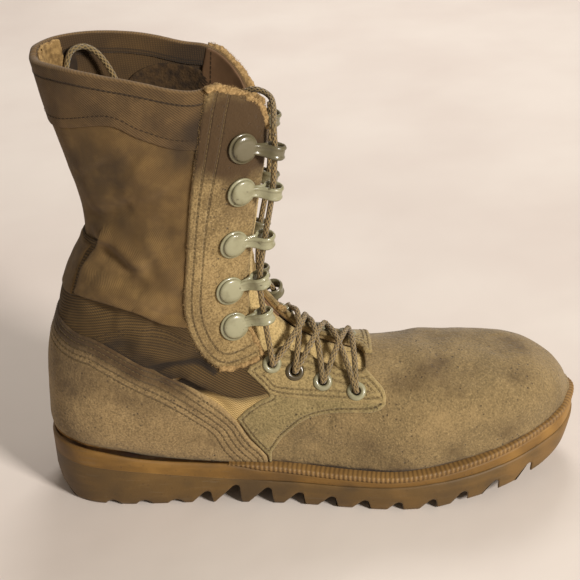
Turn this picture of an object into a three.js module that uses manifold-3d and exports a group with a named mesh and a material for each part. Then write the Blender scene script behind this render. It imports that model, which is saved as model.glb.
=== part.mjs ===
// A right combat boot: ripple sole, welt, hollow upper with counter, eyestays and facings, tongue and lacing.
// Millimetres. X runs from heel to toe, Y from the outer (lateral) side to the inner (medial) side, Z up.
import * as THREE from "three";
import { mergeVertices } from "three/addons/utils/BufferGeometryUtils.js";
import Module from "manifold-3d";

// Driving sizes
const GAP = 0.3; // between pieces that touch
const WALL = 2.4; // upper: leather or canvas with its lining
const OVERLAY = 1.5; // a second layer of suede, or a facing
const TONGUE_THICK = 2.6;
const TONGUE_INSET = WALL + 1.1; // clear of the eyelets' ends
const TONGUE_MARGIN = 12; // how far the tongue reaches behind each edge of the throat
const INSOLE_THICK = 3.5;
const WELT_DEPTH = 3.2;
const WELT_START = 104; // where the welt begins, behind the ball
const WELT_FULL = 128;
const LACE_RADIUS = 1.6;
const RIM_TOP = 290; // above everything that the collar cut removes
const BELOW = -20;
const WIDE = 90; // further out than either side

// Finishes
const SUEDE = { color: 0x9c8864, roughness: 0.95, metalness: 0 };
const CANVAS = { color: 0x8a7048, roughness: 0.95, metalness: 0 };
const GUM = { color: 0x8a6432, roughness: 0.7, metalness: 0 };
const BAND = { color: 0xa07840, roughness: 0.7, metalness: 0 };
const PAINT = { color: 0xa6a488, roughness: 0.4, metalness: 0.3 };
const CORD = { color: 0x8c7c58, roughness: 0.9, metalness: 0 };
const LINING = { color: 0x4c3c28, roughness: 0.95, metalness: 0 };

// Sections of the upper, from the toe round the instep to the collar. Each lies in a plane across the boot
// that runs from a back or bottom point to a front or top point. Half-widths are measured from the centre.
// turn is how far the front end is carried sideways, since the lacing faces a little outwards. widest is how far
// up the section its widest place lies, and under and over are how square its two ends are.
const COLUMNS = [
  "backX", "backZ", "frontX", "frontZ", "centre", "turn", "lateral", "medial", "widest", "under", "over",
];
const SECTIONS = [
  [310, 37, 309.8, 49, 5, 0, 9, 8, 0.45, 3.0, 2.3],
  [308, 35, 307.6, 54, 5, 0, 13.5, 12, 0.45, 3.5, 2.4],
  [303.5, 33, 302.5, 61, 4.5, 0, 22, 19, 0.42, 4.0, 2.5],
  [295, 31, 294, 67.3, 4, 0, 30.5, 26.5, 0.4, 4.5, 2.5],
  [283, 28.5, 282, 73.5, 3, -0.5, 38, 33.5, 0.4, 5.0, 2.45],
  [265, 25, 264, 77.5, 2, -1, 45.5, 39.5, 0.38, 5.0, 2.4],
  [245, 22, 244, 80, 1, -2, 49.5, 43.5, 0.36, 5.0, 2.3],
  [225, 19, 224, 81.5, 0, -3.5, 51.5, 46, 0.35, 5.0, 2.15],
  [205, 16, 203, 83.5, 0, -5.5, 51, 45, 0.34, 5.0, 2.0],
  [190, 15, 186, 86, 0, -7.5, 48, 42, 0.33, 5.0, 2.0],
  [165, 15, 170, 90.5, 0, -9, 43.5, 37, 0.33, 5.0, 1.9],
  [135, 17, 156, 97, 0, -9.5, 40, 33, 0.34, 4.8, 1.9],
  [100, 20, 146, 104, 0, -9.5, 38, 32, 0.34, 4.5, 1.9],
  [65, 24, 138, 112, 0, -9.5, 37, 34, 0.34, 4.0, 1.9],
  [34, 28, 133, 119, 0, -9.5, 36.5, 35.5, 0.32, 3.2, 1.9],
  [15, 30, 131, 123, 0, -9.5, 36, 35.5, 0.31, 2.6, 1.9],
  [6.5, 36, 130, 127, 0, -9.5, 36, 35.5, 0.31, 2.3, 1.9],
  [3.5, 46, 129, 132, 0, -9.5, 36, 35.5, 0.31, 2.2, 1.9],
  [3.5, 60, 129, 138, 0, -9.5, 36, 35, 0.32, 2.1, 1.9],
  [4.8, 80, 129, 146, 0, -9.5, 35.5, 34.5, 0.34, 2.1, 1.9],
  [7.5, 97, 130, 157, 0, -9.5, 35, 34, 0.38, 2.1, 1.9],
  [13.5, 115, 132, 168, 0, -9, 35, 34, 0.42, 2.1, 1.9],
  [18.5, 131, 134, 180, 0, -9, 35.5, 34.5, 0.45, 2.1, 1.9],
  [26, 147, 136, 191, 0, -8.5, 36.5, 35.5, 0.46, 2.1, 1.9],
  [33.5, 163, 138, 201, 0, -8, 37.5, 36.5, 0.47, 2.1, 1.9],
  [33, 183, 140, 212, 0, -7.5, 38.5, 37.5, 0.48, 2.1, 1.9],
  [26.5, 207, 142, 225, 0, -7, 39, 38.5, 0.48, 2.1, 1.9],
  [21, 230, 143, 236, 0, -6.5, 39, 38.5, 0.48, 2.1, 1.9],
  [17, 254, 144, 250, 0, -6, 39, 38.5, 0.48, 2.1, 1.9],
  [13, 278, 145, 272, 0, -6, 39, 38.5, 0.48, 2.1, 1.9],
];

// The places where the form is cut into rings: close together round the heel, the ankle's fold and the toe.
const FORM_PLACES = [0, 1, 2, 3, 4, 5.5, 7, 8.5, 10, 11, 12, 13, 14, 15, 16, 17.5, 19, 20, 21, 22, 23, 24, 25, 26,
  27.5, 29];
const FORM_SIDES = 20;
const LINING_PLACES = [1, 2, 3.5, 5.5, 8, 10, 12, 13.5, 15, 17, 19, 21, 22.5, 24, 25.5, 27, 29];
const LINING_SIDES = 16;

// Sole outline seen from above: distance from the heel, and how far out each side reaches.
const SOLE_ROWS = [
  { x: 2.5, lateral: -14, medial: 14 },
  { x: 9, lateral: -26, medial: 25.5 },
  { x: 22, lateral: -35, medial: 34 },
  { x: 42, lateral: -39.5, medial: 38 },
  { x: 65, lateral: -40.5, medial: 37.5 },
  { x: 90, lateral: -41, medial: 34.5 },
  { x: 118, lateral: -43, medial: 33 },
  { x: 148, lateral: -47, medial: 35.5 },
  { x: 176, lateral: -52.5, medial: 42 },
  { x: 202, lateral: -56.5, medial: 48.5 },
  { x: 228, lateral: -56, medial: 50.5 },
  { x: 252, lateral: -51.5, medial: 48.5 },
  { x: 274, lateral: -43, medial: 43 },
  { x: 291, lateral: -32.5, medial: 35 },
  { x: 303, lateral: -22.5, medial: 28 },
  { x: 311, lateral: -9.5, medial: 18 },
];
const HEEL_BACK = 1;
const TOE_TIP = 315;
const TOE_CENTRE = 5;
const OUTLINE_STEPS = 44;

// How the sole's side leans: level 0 is the tread and 1 the top, and inset is measured inwards.
const SIDE_LEVELS = [
  { level: -0.5, inset: 5 },
  { level: 0, inset: 3.2 },
  { level: 0.4, inset: 0.7 },
  { level: 1.4, inset: 0 },
];

// Lines along the sole: [distance from the heel, height].
const TREAD_LINE = [[-10, -1.5], [225, -1.5], [246, 2], [268, 4.5], [292, 9], [310, 15.5], [322, 22]];
const BAND_LINE = [[-10, 28.5], [14, 27.5], [43, 25.2], [89, 19.5], [130, 16.5], [193, 15.7], [251, 20.8], [290, 27],
  [322, 34]];
const TOP_LINE = [[-10, 40], [10, 39.5], [32, 37], [60, 31.5], [89, 28.5], [127, 26.5], [164, 23.5], [208, 23],
  [251, 30], [290, 38.5], [322, 46]];

// Tread: shallow scallops under the heel and undercut ripples under the arch and forefoot.
const SCALLOPS = { at: [36, 55, 74], height: 3, half: 5 };
const RIPPLES = [[93, 8], [110, 13], [128.6, 11.4], [147, 8.8], [165.5, 7.1], [184.5, 5.8], [204, 5], [224, 6],
  [242.6, 9], [262, 12], [283.6, 16]];
const HEEL_BEVEL = [[6, 3], [13, -1.5]];

// Outlines of the overlays seen from the side: [distance from the heel, height].
const LATERAL_RIM = [[-20, 262], [12, 263], [36, 264], [64, 260], [100, 252.5], [112, 254], [124, 249], [133, 240],
  [138, 226], [160, 226]];
const MEDIAL_RIM = [[-20, 265], [12, 266], [36, 265.5], [64, 262], [92, 256], [106, 255], [117, 249.5], [125, 240],
  [131, 229], [160, 218]];
const COUNTER_EDGE = [[-30, 119], [10, 118.5], [24.6, 112.3], [37.1, 109.9], [49.4, 102.7], [63, 93.6], [76.5, 85],
  [92.5, 74], [111.3, 57.2], [119, 43], [128.3, 31.6], [129.2, 18]];
const LATERAL_STAY = [[130, 18], [129.3, 32], [120, 43.5], [112.5, 57.5], [120, 65.3], [132.4, 69.9], [125.4, 78.4],
  [119, 86.5], [121, 89.2], [129.4, 92.7], [151, 117.6], [182, 118], [185.8, 81.5], [191.2, 77], [197.8, 70], [196, 64.5],
  [190.7, 62.2], [168.2, 60.8], [158.6, 59.4], [149.4, 55.5], [138.9, 45.5], [131.5, 34], [131, 18]];
const MEDIAL_STAY = [[130, 18], [129.3, 32], [120, 43.5], [112.5, 57.5], [120, 65.3], [132.4, 69.9], [125.4, 78.4],
  [119, 86.5], [121, 89.2], [129.4, 92.7], [151, 117.6], [193, 125], [191, 66], [186, 62.2], [168.2, 60.8], [158.6, 59.4],
  [149.4, 55.5], [138.9, 45.5], [131.5, 34], [131, 18]];
const FACING = [[108.5, 280], [106.2, 253], [103.8, 243.5], [99.9, 222.5], [95, 194.5], [90.3, 158.5], [87, 127.5],
  [89.2, 111.5], [93.5, 100.5], [98, 93.8], [104.5, 89.6], [110, 88.6], [119.5, 90.8], [128.4, 94], [150, 119],
  [170, 280]];

// The throat runs down the outer slope of the instep. Each row gives its two edges, from the toe end to the collar.
const THROAT_ROWS = [
  { place: 8.93, lateral: -23, medial: -20.5 },
  { place: 8.97, lateral: -28, medial: -15 },
  { place: 9.1, lateral: -31.5, medial: -12 },
  { place: 9.5, lateral: -31.3, medial: -11 },
  { place: 10, lateral: -30, medial: -11 },
  { place: 10.9, lateral: -27.2, medial: -11 },
  { place: 12.2, lateral: -27.4, medial: -9.5 },
  { place: 12.66, lateral: -31, medial: -8.5 },
  { place: 13.3, lateral: -28.5, medial: -7 },
  { place: 16.5, lateral: -22, medial: -1 },
  { place: 19, lateral: -21.5, medial: 1.5 },
  { place: 21.2, lateral: -22.3, medial: 3.5 },
  { place: 22.8, lateral: -23.5, medial: 5 },
  { place: 24.9, lateral: -24, medial: 8.5 },
  { place: 26.3, lateral: -23, medial: 12 },
  { place: 29, lateral: -23, medial: 16 },
];
const THROAT_DEPTH = 26;
const STAY_SPLIT = -18; // between the two sides' pieces, within the throat
const FACING_SPLIT = -12;
const TONGUE_PLACES = [8.5, 9.2, 10, 11, 12, 14, 16, 19, 22, 25, 26.6];

// Hooks and eyelets on each side: their section, and their y on it. turn lifts a hook's nose, in degrees.
const HOOKS = {
  lateral: [
    { place: 25.9, y: -32.3, turn: -14 },
    { place: 24.15, y: -32, turn: -8 },
    { place: 21.4, y: -29.5, turn: 0 },
    { place: 18.95, y: -28.3, turn: 12 },
    { place: 15.8, y: -28.2, turn: 11 },
  ],
  medial: [
    { place: 25.9, y: 23, turn: -12 },
    { place: 23.4, y: 18, turn: -8 },
    { place: 20.8, y: 15, turn: -4 },
    { place: 17.9, y: 12.6, turn: 0 },
    { place: 14.7, y: 10.5, turn: 0 },
  ],
};
const EYELETS = {
  lateral: [{ place: 12.25, y: -32.5 }, { place: 11.37, y: -33.3 }, { place: 10.41, y: -35.3 }, { place: 9.34, y: -39 }],
  medial: [{ place: 12.35, y: -0.5 }, { place: 11.37, y: -2.5 }, { place: 10.45, y: -3 }, { place: 9.5, y: -2 }],
};
const EYELET = { hole: 2.3, barrel: 2.9, flange: 5.4, rise: 1, seat: 2.6 };
const LACE_SLACK = 0.7;
const LACE_LIFT = EYELET.seat + EYELET.rise + GAP + LACE_RADIUS + LACE_SLACK;
const LACE_START = 0.35; // how many sections above its eyelet a run starts
const RUN_PAST_RING = 9;
// The free end's route, in from the top hook, and its loop against the medial wall.
const LACE_END = [[139, -10, 239], [130, -3, 241], [117, 2, 233], [101, 7, 224], [84, 12, 218], [68, 17, 219],
  [59, 20.5, 229], [55, 22.5, 241], [50.5, 23, 250.5], [45.5, 22, 257.5], [39.5, 20, 261], [33.5, 17, 259.5],
  [30, 14.5, 250], [29.5, 13, 237], [32, 12, 224], [37, 11.5, 211]];
const AGLET_TIP = [42, 11.5, 200];
const AGLET_LENGTH = 11;
const HOOK = { disc: 7.7, thick: 2, strap: 1.5, height: 6.8, ring: 6, hole: 4, reach: 16.6, lift: 3.4, seat: 3.2 };

const wasm = await Module();
wasm.setup();
const { Manifold, Mesh } = wasm;

// three.js geometry to a solid, and back again.
function solid(geometry) {
  const bare = geometry.index ? geometry.toNonIndexed() : geometry.clone();
  bare.deleteAttribute("normal");
  bare.deleteAttribute("uv");
  const merged = mergeVertices(bare, 1e-4);
  return new Manifold(new Mesh({
    numProp: 3,
    vertProperties: merged.attributes.position.array,
    triVerts: new Uint32Array(merged.index.array),
  }));
}

function geometryOf(body) {
  const mesh = body.getMesh();
  const geometry = new THREE.BufferGeometry();
  geometry.setAttribute("position", new THREE.BufferAttribute(mesh.vertProperties, 3));
  geometry.setIndex(new THREE.BufferAttribute(mesh.triVerts, 1));
  return geometry;
}

// A closed skin over rings of points, with a flat fan over each end.
function loft(rings) {
  const count = rings[0].length;
  const points = rings.flat();
  const faces = [];
  for (let r = 0; r < rings.length - 1; r++) {
    for (let i = 0; i < count; i++) {
      const a = r * count + i;
      const b = r * count + ((i + 1) % count);
      faces.push(a, b, b + count, a, b + count, a + count);
    }
  }
  const ends = [[rings[0], 0, true], [rings.at(-1), (rings.length - 1) * count, false]];
  for (const [ring, start, first] of ends) {
    const middle = ring.reduce((sum, p) => sum.add(p), new THREE.Vector3()).divideScalar(count);
    points.push(middle);
    for (let i = 0; i < count; i++) {
      const a = start + i;
      const b = start + ((i + 1) % count);
      faces.push(...(first ? [points.length - 1, b, a] : [points.length - 1, a, b]));
    }
  }
  const geometry = new THREE.BufferGeometry().setFromPoints(points);
  geometry.setIndex(faces);
  const body = solid(geometry);
  return body.volume() > 0 ? body : solid(flipped(geometry));
}

function flipped(geometry) {
  const turned = geometry.clone();
  const index = [...geometry.index.array];
  for (let i = 0; i < index.length; i += 3) [index[i + 1], index[i + 2]] = [index[i + 2], index[i + 1]];
  turned.setIndex(index);
  return turned;
}

// A side-view outline carried straight across the boot, from one y to another.
function prism(outline, fromY, toY) {
  const shape = new THREE.Shape(outline.map(([x, z]) => new THREE.Vector2(x, z)));
  const geometry = new THREE.ExtrudeGeometry(shape, { depth: toY - fromY, bevelEnabled: false });
  geometry.rotateX(Math.PI / 2);
  geometry.translate(0, toY, 0);
  return solid(geometry);
}

// A side-view line as a smooth curve through its points.
function smooth(line, steps) {
  const curve = new THREE.SplineCurve(line.map(([x, z]) => new THREE.Vector2(x, z)));
  return curve.getPoints(steps).map((p) => [p.x, p.y]);
}

function heightAt(line, x) {
  const next = line.findIndex(([at]) => at > x);
  if (next < 1) return line.at(next === 0 ? 0 : -1)[1];
  const [x0, z0] = line[next - 1];
  const [x1, z1] = line[next];
  return THREE.MathUtils.mapLinear(x, x0, x1, z0, z1);
}

// Everything between two side-view lines, right across the boot.
function between(low, high) {
  return prism([...low, ...high.toReversed()], -WIDE, WIDE);
}

// The upper's form

// A section at any place along the table, smoothly between its rows. inset shrinks it all round.
function sectionAt(place, inset = 0) {
  const last = SECTIONS.length - 1;
  const at = THREE.MathUtils.clamp(place, 0, last);
  const row = Math.min(Math.floor(at), last - 1);
  const section = {};
  COLUMNS.forEach((name, column) => {
    const value = (i) => SECTIONS[THREE.MathUtils.clamp(i, 0, last)][column];
    const ends = [value(row), value(row + 1)];
    const slopes = [(ends[1] - value(row - 1)) / 2, (value(row + 2) - ends[0]) / 2];
    const t = at - row;
    section[name] = ends[0] * (1 + 2 * t) * (1 - t) ** 2 + ends[1] * t * t * (3 - 2 * t) +
      slopes[0] * t * (1 - t) ** 2 - slopes[1] * t * t * (1 - t);
  });
  const back = new THREE.Vector2(section.backX, section.backZ);
  const front = new THREE.Vector2(section.frontX, section.frontZ);
  const along = front.clone().sub(back).normalize();
  back.addScaledVector(along, inset);
  front.addScaledVector(along, -inset);
  return {
    ...section,
    back,
    along,
    length: front.distanceTo(back),
    lateral: section.lateral - inset,
    medial: section.medial - inset,
  };
}

// A point of a section, up it by a distance and out from its centre.
function inSection(section, up, y) {
  return new THREE.Vector3(section.back.x + section.along.x * up, y, section.back.y + section.along.y * up);
}

function ringOf(place, inset, count) {
  const section = sectionAt(place, inset);
  const low = section.length * section.widest;
  const high = section.length - low;
  return Array.from({ length: count }, (_, i) => {
    const angle = (i / count) * Math.PI * 2;
    const [c, s] = [Math.cos(angle), Math.sin(angle)];
    const power = 2 / (s < 0 ? section.under : section.over);
    const half = c < 0 ? section.lateral : section.medial;
    const rise = Math.sign(s) * Math.abs(s) ** power;
    const y = section.centre + section.turn * Math.max(rise, 0) + Math.sign(c) * half * Math.abs(c) ** power;
    return inSection(section, low + (s < 0 ? low : high) * rise, y);
  });
}

function form(inset, places, count) {
  return loft(places.map((place) => ringOf(place, inset, count)));
}

// A point on the front of the outer form: which section it is in, and its y.
function frontPoint(place, y) {
  const section = sectionAt(place);
  let share = 1;
  for (let i = 0; i < 8; i++) {
    const out = y - section.centre - section.turn * share;
    const half = out < 0 ? section.lateral : section.medial;
    share = (1 - Math.min(Math.abs(out) / half, 0.999) ** section.over) ** (1 / section.over);
  }
  const low = section.length * section.widest;
  return inSection(section, low + (section.length - low) * share, y);
}

// The same point with axes: out is square to the surface, ahead lies in it and level, and up completes the set.
function frontFrame(place, y, lift) {
  const acrossY = frontPoint(place, y + 0.5).sub(frontPoint(place, y - 0.5));
  const alongPlace = frontPoint(place + 0.05, y).sub(frontPoint(place - 0.05, y));
  const out = acrossY.cross(alongPlace).normalize();
  if (out.x + out.z < 0) out.negate();
  const ahead = out.clone().cross(new THREE.Vector3(0, 0, 1)).normalize();
  if (ahead.x < 0) ahead.negate();
  return { at: frontPoint(place, y).addScaledVector(out, lift), out, ahead, up: out.clone().cross(ahead) };
}

function placed(geometry, frame) {
  const matrix = new THREE.Matrix4().makeBasis(frame.ahead, frame.up, frame.out).setPosition(frame.at);
  return solid(geometry.clone().applyMatrix4(matrix));
}

// The sole

function soleOutline() {
  const sides = [
    new THREE.Vector3(HEEL_BACK, 0, 0),
    ...SOLE_ROWS.map((row) => new THREE.Vector3(row.x, row.lateral, 0)),
    new THREE.Vector3(TOE_TIP, TOE_CENTRE, 0),
    ...SOLE_ROWS.toReversed().map((row) => new THREE.Vector3(row.x, row.medial, 0)),
  ];
  return new THREE.CatmullRomCurve3(sides, true, "centripetal").getSpacedPoints(OUTLINE_STEPS).slice(0, -1);
}

// Everything inside the sole's leaning side, drawn in by an extra inset.
function soleForm(extra) {
  const outline = soleOutline();
  const count = outline.length;
  return loft(SIDE_LEVELS.map(({ level, inset }) => outline.map((p, i) => {
    const run = outline[(i + 1) % count].clone().sub(outline[(i + count - 1) % count]).normalize();
    const x = p.x - run.y * (inset + extra);
    const y = p.y + run.x * (inset + extra);
    return new THREE.Vector3(x, y, THREE.MathUtils.lerp(heightAt(TREAD_LINE, x), heightAt(TOP_LINE, x), level));
  })));
}

const treadLine = () => {
  const scallops = SCALLOPS.at.flatMap((x) => [-1, -0.5, 0, 0.5, 1].map((t) =>
    [x + SCALLOPS.half * t, TREAD_LINE[0][1] + SCALLOPS.height * (1 - t * t)]));
  const ripples = RIPPLES.flatMap(([x, apex]) => {
    const floor = (at) => heightAt(TREAD_LINE, at);
    const rise = apex - floor(x);
    const foot = x - 2.6 - rise * 0.75;
    return [[foot, floor(foot)], [x - 2.4, apex - 1], [x - 0.6, apex], [x + 1, apex - 0.6], [x + 1.9, apex - 2.2],
      [x + 2.3, floor(x + 2.3)]];
  });
  const toe = TREAD_LINE.filter(([x]) => x > 289);
  return [[-10, 7], ...HEEL_BEVEL, ...scallops, ...ripples, ...toe];
};

const bandLine = smooth(BAND_LINE, 11);
const topLine = smooth(TOP_LINE, 15);
const raised = (line, by) => line.map(([x, z]) => [x, z + by]);
// The seat is the midsole's top: level with the sole's edge at the heel and below the welt further forward.
const seatLine = topLine.map(([x, z]) => [x, z - WELT_DEPTH * THREE.MathUtils.smoothstep(x, WELT_START, WELT_FULL)]);
const floorLine = [[-30, BELOW], [330, BELOW]];
const skyLine = [[-30, RIM_TOP + 20], [330, RIM_TOP + 20]];
const overSeat = (by) => between(raised(seatLine, by), skyLine);

const soleBody = soleForm(0);
const outerForm = (grown) => form(-grown, FORM_PLACES, FORM_SIDES);
const innerForm = (inset) => form(inset, LINING_PLACES, LINING_SIDES);
const outer = outerForm(0);
const inner = innerForm(WALL);

const outsole = () => soleBody.intersect(between(treadLine(), raised(bandLine, -GAP)));
const midsole = () => soleBody.intersect(between(bandLine, seatLine));
const welt = () => soleBody
  .intersect(between(floorLine, topLine))
  .intersect(overSeat(GAP))
  .subtract(outerForm(GAP))
  .intersect(prism([[WELT_START + 12, 0], [330, 0], [330, 80], [WELT_START + 12, 80]], -WIDE, WIDE));
const insole = () => innerForm(WALL + GAP)
  .intersect(between(raised(seatLine, GAP), raised(seatLine, GAP + INSOLE_THICK)));

// A block that follows the front of the upper, between the edges that its rows give, and as deep as given.
function frontBlock(rows, depth) {
  return loft(rows.map(({ place, lateral, medial }) => {
    const section = sectionAt(place);
    const corners = [[-depth, lateral], [-depth, medial], [12, medial], [12, lateral]];
    return corners.map(([up, y]) => inSection(section, section.length + up, y));
  }));
}

function throatAt(place) {
  const edge = (side) => heightAt(THROAT_ROWS.map((row) => [row.place, row[side]]), place);
  return { place, lateral: edge("lateral"), medial: edge("medial") };
}

const rimCut = (rim, fromY, toY) =>
  prism([...smooth(rim, 13), [160, RIM_TOP + 20], [-20, RIM_TOP + 20]], fromY, toY);
const collarCut = rimCut(LATERAL_RIM, -WIDE, 0).add(rimCut(MEDIAL_RIM, 0, WIDE));
const throatCut = frontBlock(THROAT_ROWS, THROAT_DEPTH);

const eachSide = ["lateral", "medial"];

// One bore for each eyelet, square to the surface.
function bores(radius) {
  const rod = new THREE.CylinderGeometry(radius, radius, 14, 8).rotateX(Math.PI / 2);
  return eachSide.flatMap((side) => EYELETS[side].map(({ place, y }) => placed(rod, frontFrame(place, y, 0))));
}

const boreCut = Manifold.union(bores(EYELET.barrel + GAP));

const upper = () => outer
  .subtract(inner)
  .subtract(throatCut)
  .subtract(collarCut)
  .intersect(overSeat(GAP))
  .subtract(boreCut);

// Overlays are the shell between two larger forms, cut to a side-view outline.
const overlayShell = outerForm(GAP + OVERLAY).subtract(outerForm(GAP))
  .subtract(throatCut)
  .subtract(collarCut);
const clearOfSole = between(raised(topLine, GAP), skyLine);

const counter = () => overlayShell
  .intersect(prism([...COUNTER_EDGE, [-30, 18]], -WIDE, WIDE))
  .intersect(clearOfSole);

const stay = (edge, fromY, toY) => overlayShell
  .intersect(prism(edge, fromY, toY))
  .intersect(clearOfSole)
  .subtract(boreCut);
const facing = (fromY, toY) => overlayShell.intersect(prism(FACING, fromY, toY));

function tongue() {
  const rows = TONGUE_PLACES.map(throatAt).map(({ place, lateral, medial }) =>
    ({ place, lateral: lateral - TONGUE_MARGIN, medial: medial + TONGUE_MARGIN }));
  const shell = innerForm(TONGUE_INSET).subtract(innerForm(TONGUE_INSET + TONGUE_THICK));
  return shell.intersect(frontBlock(rows, 30)).subtract(collarCut);
}

// Metal pieces

function eyelet() {
  const { hole, barrel, flange, rise } = EYELET;
  const low = 0.6 - WALL;
  const face = EYELET.seat;
  const profile = [[hole, low], [barrel, low], [barrel, face], [flange, face], [flange - 0.9, face + rise],
    [hole, face + rise * 0.6], [hole, low]];
  return new THREE.LatheGeometry(profile.map(([r, y]) => new THREE.Vector2(r, y)), 8).rotateX(Math.PI / 2);
}

function hookFrame({ place, y, turn }, side) {
  const frame = frontFrame(place, y, HOOK.seat);
  const angle = THREE.MathUtils.degToRad(turn) * (side === "lateral" ? 1 : -1);
  frame.ahead.applyAxisAngle(frame.out, angle);
  frame.up.applyAxisAngle(frame.out, angle);
  return frame;
}

// A disc riveted flat on the facing, and a strap that ends in an upright ring.
function hook() {
  const { disc, thick, strap, height, ring, hole, reach, lift } = HOOK;
  const edge = [[0, 0], [disc, 0], [disc, thick * 0.5], [disc - 0.9, thick], [0, thick]];
  const plate = solid(new THREE.LatheGeometry(edge.map(([r, y]) => new THREE.Vector2(r, y)), 9)
    .rotateX(Math.PI / 2));
  const outline = new THREE.Shape();
  outline.moveTo(disc - 2, 0.2);
  outline.lineTo(reach - ring, 0.2);
  outline.absarc(reach, lift, ring, Math.PI * 1.15, Math.PI * 2.75, false);
  outline.lineTo(disc + 1.5, strap + 0.2);
  outline.lineTo(disc - 2, strap + 0.2);
  const opening = new THREE.Path().absarc(reach, lift, hole, 0, Math.PI * 2, true);
  outline.holes.push(opening);
  const geometry = new THREE.ExtrudeGeometry(outline, { depth: height, bevelEnabled: false, curveSegments: 4 });
  geometry.translate(0, 0, -height / 2).rotateX(Math.PI / 2);
  return geometryOf(plate.add(solid(geometry)));
}

const eyeletGeometry = eyelet();
const hookGeometry = hook();
const hookFrames = Object.fromEntries(eachSide.map((side) => [side, HOOKS[side].map((row) => hookFrame(row, side))]));

// Laces

function cord(points, steps, curveSegments = 4) {
  const section = new THREE.Shape().absarc(0, 0, LACE_RADIUS, 0, Math.PI * 2);
  const path = new THREE.CatmullRomCurve3(points, false, "centripetal");
  return solid(new THREE.ExtrudeGeometry(section, { steps, curveSegments, extrudePath: path, bevelEnabled: false }));
}

// A lace over the throat from one eyelet to another, a cord's height above the stays and eyelets.
function over(from, to) {
  const route = [0, 0.25, 0.5, 0.75, 1].map((t) => {
    const place = THREE.MathUtils.lerp(from.place, to.place, t);
    return frontFrame(place, THREE.MathUtils.lerp(from.y, to.y, t), LACE_LIFT).at;
  });
  return cord(route, 4, 3);
}

const { lateral: outerEyelets, medial: innerEyelets } = EYELETS;

// Three crossings and the straight bar at the toe end, joined where they meet.
function crossings() {
  const parts = [0, 1, 2].flatMap((i) => [
    over(outerEyelets[i], innerEyelets[i + 1]),
    over(innerEyelets[i], outerEyelets[i + 1]),
  ]);
  return Manifold.union([...parts, over(outerEyelets[3], innerEyelets[3])]);
}

function ringCentre(frame) {
  return frame.at.clone().addScaledVector(frame.ahead, HOOK.reach).addScaledVector(frame.out, HOOK.lift);
}

// The lace climbs through the five rings of a side: from above its top eyelet, or from under the ring inside.
function laceRun(side) {
  const { place, y } = EYELETS[side][0];
  const rings = hookFrames[side].map(ringCentre).toReversed();
  const underRing = rings[0].clone().add(new THREE.Vector3(1, 0, -RUN_PAST_RING * 0.8));
  const start = side === "lateral" ? frontFrame(place + LACE_START, y, LACE_LIFT).at : underRing;
  const end = rings.at(-1).clone().add(new THREE.Vector3(0, 0, RUN_PAST_RING));
  return cord([start, ...rings, end], 14);
}

// The free end goes from the top outer hook over the tongue into the shaft, stands in a loop and drops again.
function endRoute() {
  const ring = ringCentre(hookFrames.lateral[0]);
  const exit = ring.add(new THREE.Vector3(0, 0, RUN_PAST_RING + GAP));
  const rising = exit.clone().add(new THREE.Vector3(0, 0, 3));
  return [exit, rising, ...LACE_END.map(([x, y, z]) => new THREE.Vector3(x, y, z))];
}

function aglet() {
  const [top, tip] = [new THREE.Vector3(...LACE_END.at(-1)), new THREE.Vector3(...AGLET_TIP)];
  const down = tip.clone().sub(top).normalize();
  const rod = new THREE.CylinderGeometry(LACE_RADIUS, LACE_RADIUS * 0.8, AGLET_LENGTH, 8);
  rod.translate(0, -AGLET_LENGTH / 2 - GAP, 0);
  rod.applyQuaternion(new THREE.Quaternion().setFromUnitVectors(new THREE.Vector3(0, -1, 0), down));
  return solid(rod.translate(top.x, top.y, top.z));
}

const boot = new THREE.Group();
const pieces = [];

function piece(name, body, finish) {
  const mesh = new THREE.Mesh(geometryOf(body), new THREE.MeshStandardMaterial(finish));
  mesh.name = name;
  pieces.push(mesh);
  boot.add(mesh);
}

piece("outsole", outsole(), GUM);
piece("midsole", midsole(), BAND);
piece("welt", welt(), BAND);
piece("insole", insole(), LINING);
piece("upper", upper(), CANVAS);
piece("tongue", tongue(), CANVAS);
piece("heel_counter", counter(), SUEDE);
piece("eyestay_lateral", stay(LATERAL_STAY, -WIDE, STAY_SPLIT), SUEDE);
piece("eyestay_medial", stay(MEDIAL_STAY, STAY_SPLIT, WIDE), SUEDE);
piece("facing_lateral", facing(-WIDE, FACING_SPLIT), SUEDE);
piece("facing_medial", facing(FACING_SPLIT, WIDE), SUEDE);
for (const side of eachSide) {
  hookFrames[side].forEach((frame, i) => piece(`hook_${side}_${i + 1}`, placed(hookGeometry, frame), PAINT));
  EYELETS[side].forEach(({ place, y }, i) => {
    piece(`eyelet_${side}_${i + 1}`, placed(eyeletGeometry, frontFrame(place, y, 0)), PAINT);
  });
  piece("lace_run_" + side, laceRun(side), CORD);
}
piece("lace_crossings", crossings(), CORD);
piece("lace_end", cord(endRoute(), 26), CORD);
piece("lace_aglet", aglet(), CORD);

// The origin is the middle of the boot's footprint, on the ground.
const box = new THREE.Box3().setFromObject(boot);
const middle = box.getCenter(new THREE.Vector3());
for (const mesh of pieces) mesh.geometry.translate(-middle.x, -middle.y, -box.min.z);

export default boot;
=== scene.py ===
"""A worn right combat boot: suede vamp, counter, eyestays and facings over a canvas shaft, with its lace.

Sizes are millimetres in the last's own frame, where X runs from heel to toe, Y from the outer (lateral) side
to the inner (medial) side and Z up. to_frame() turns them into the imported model's metres.
"""
import math

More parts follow.
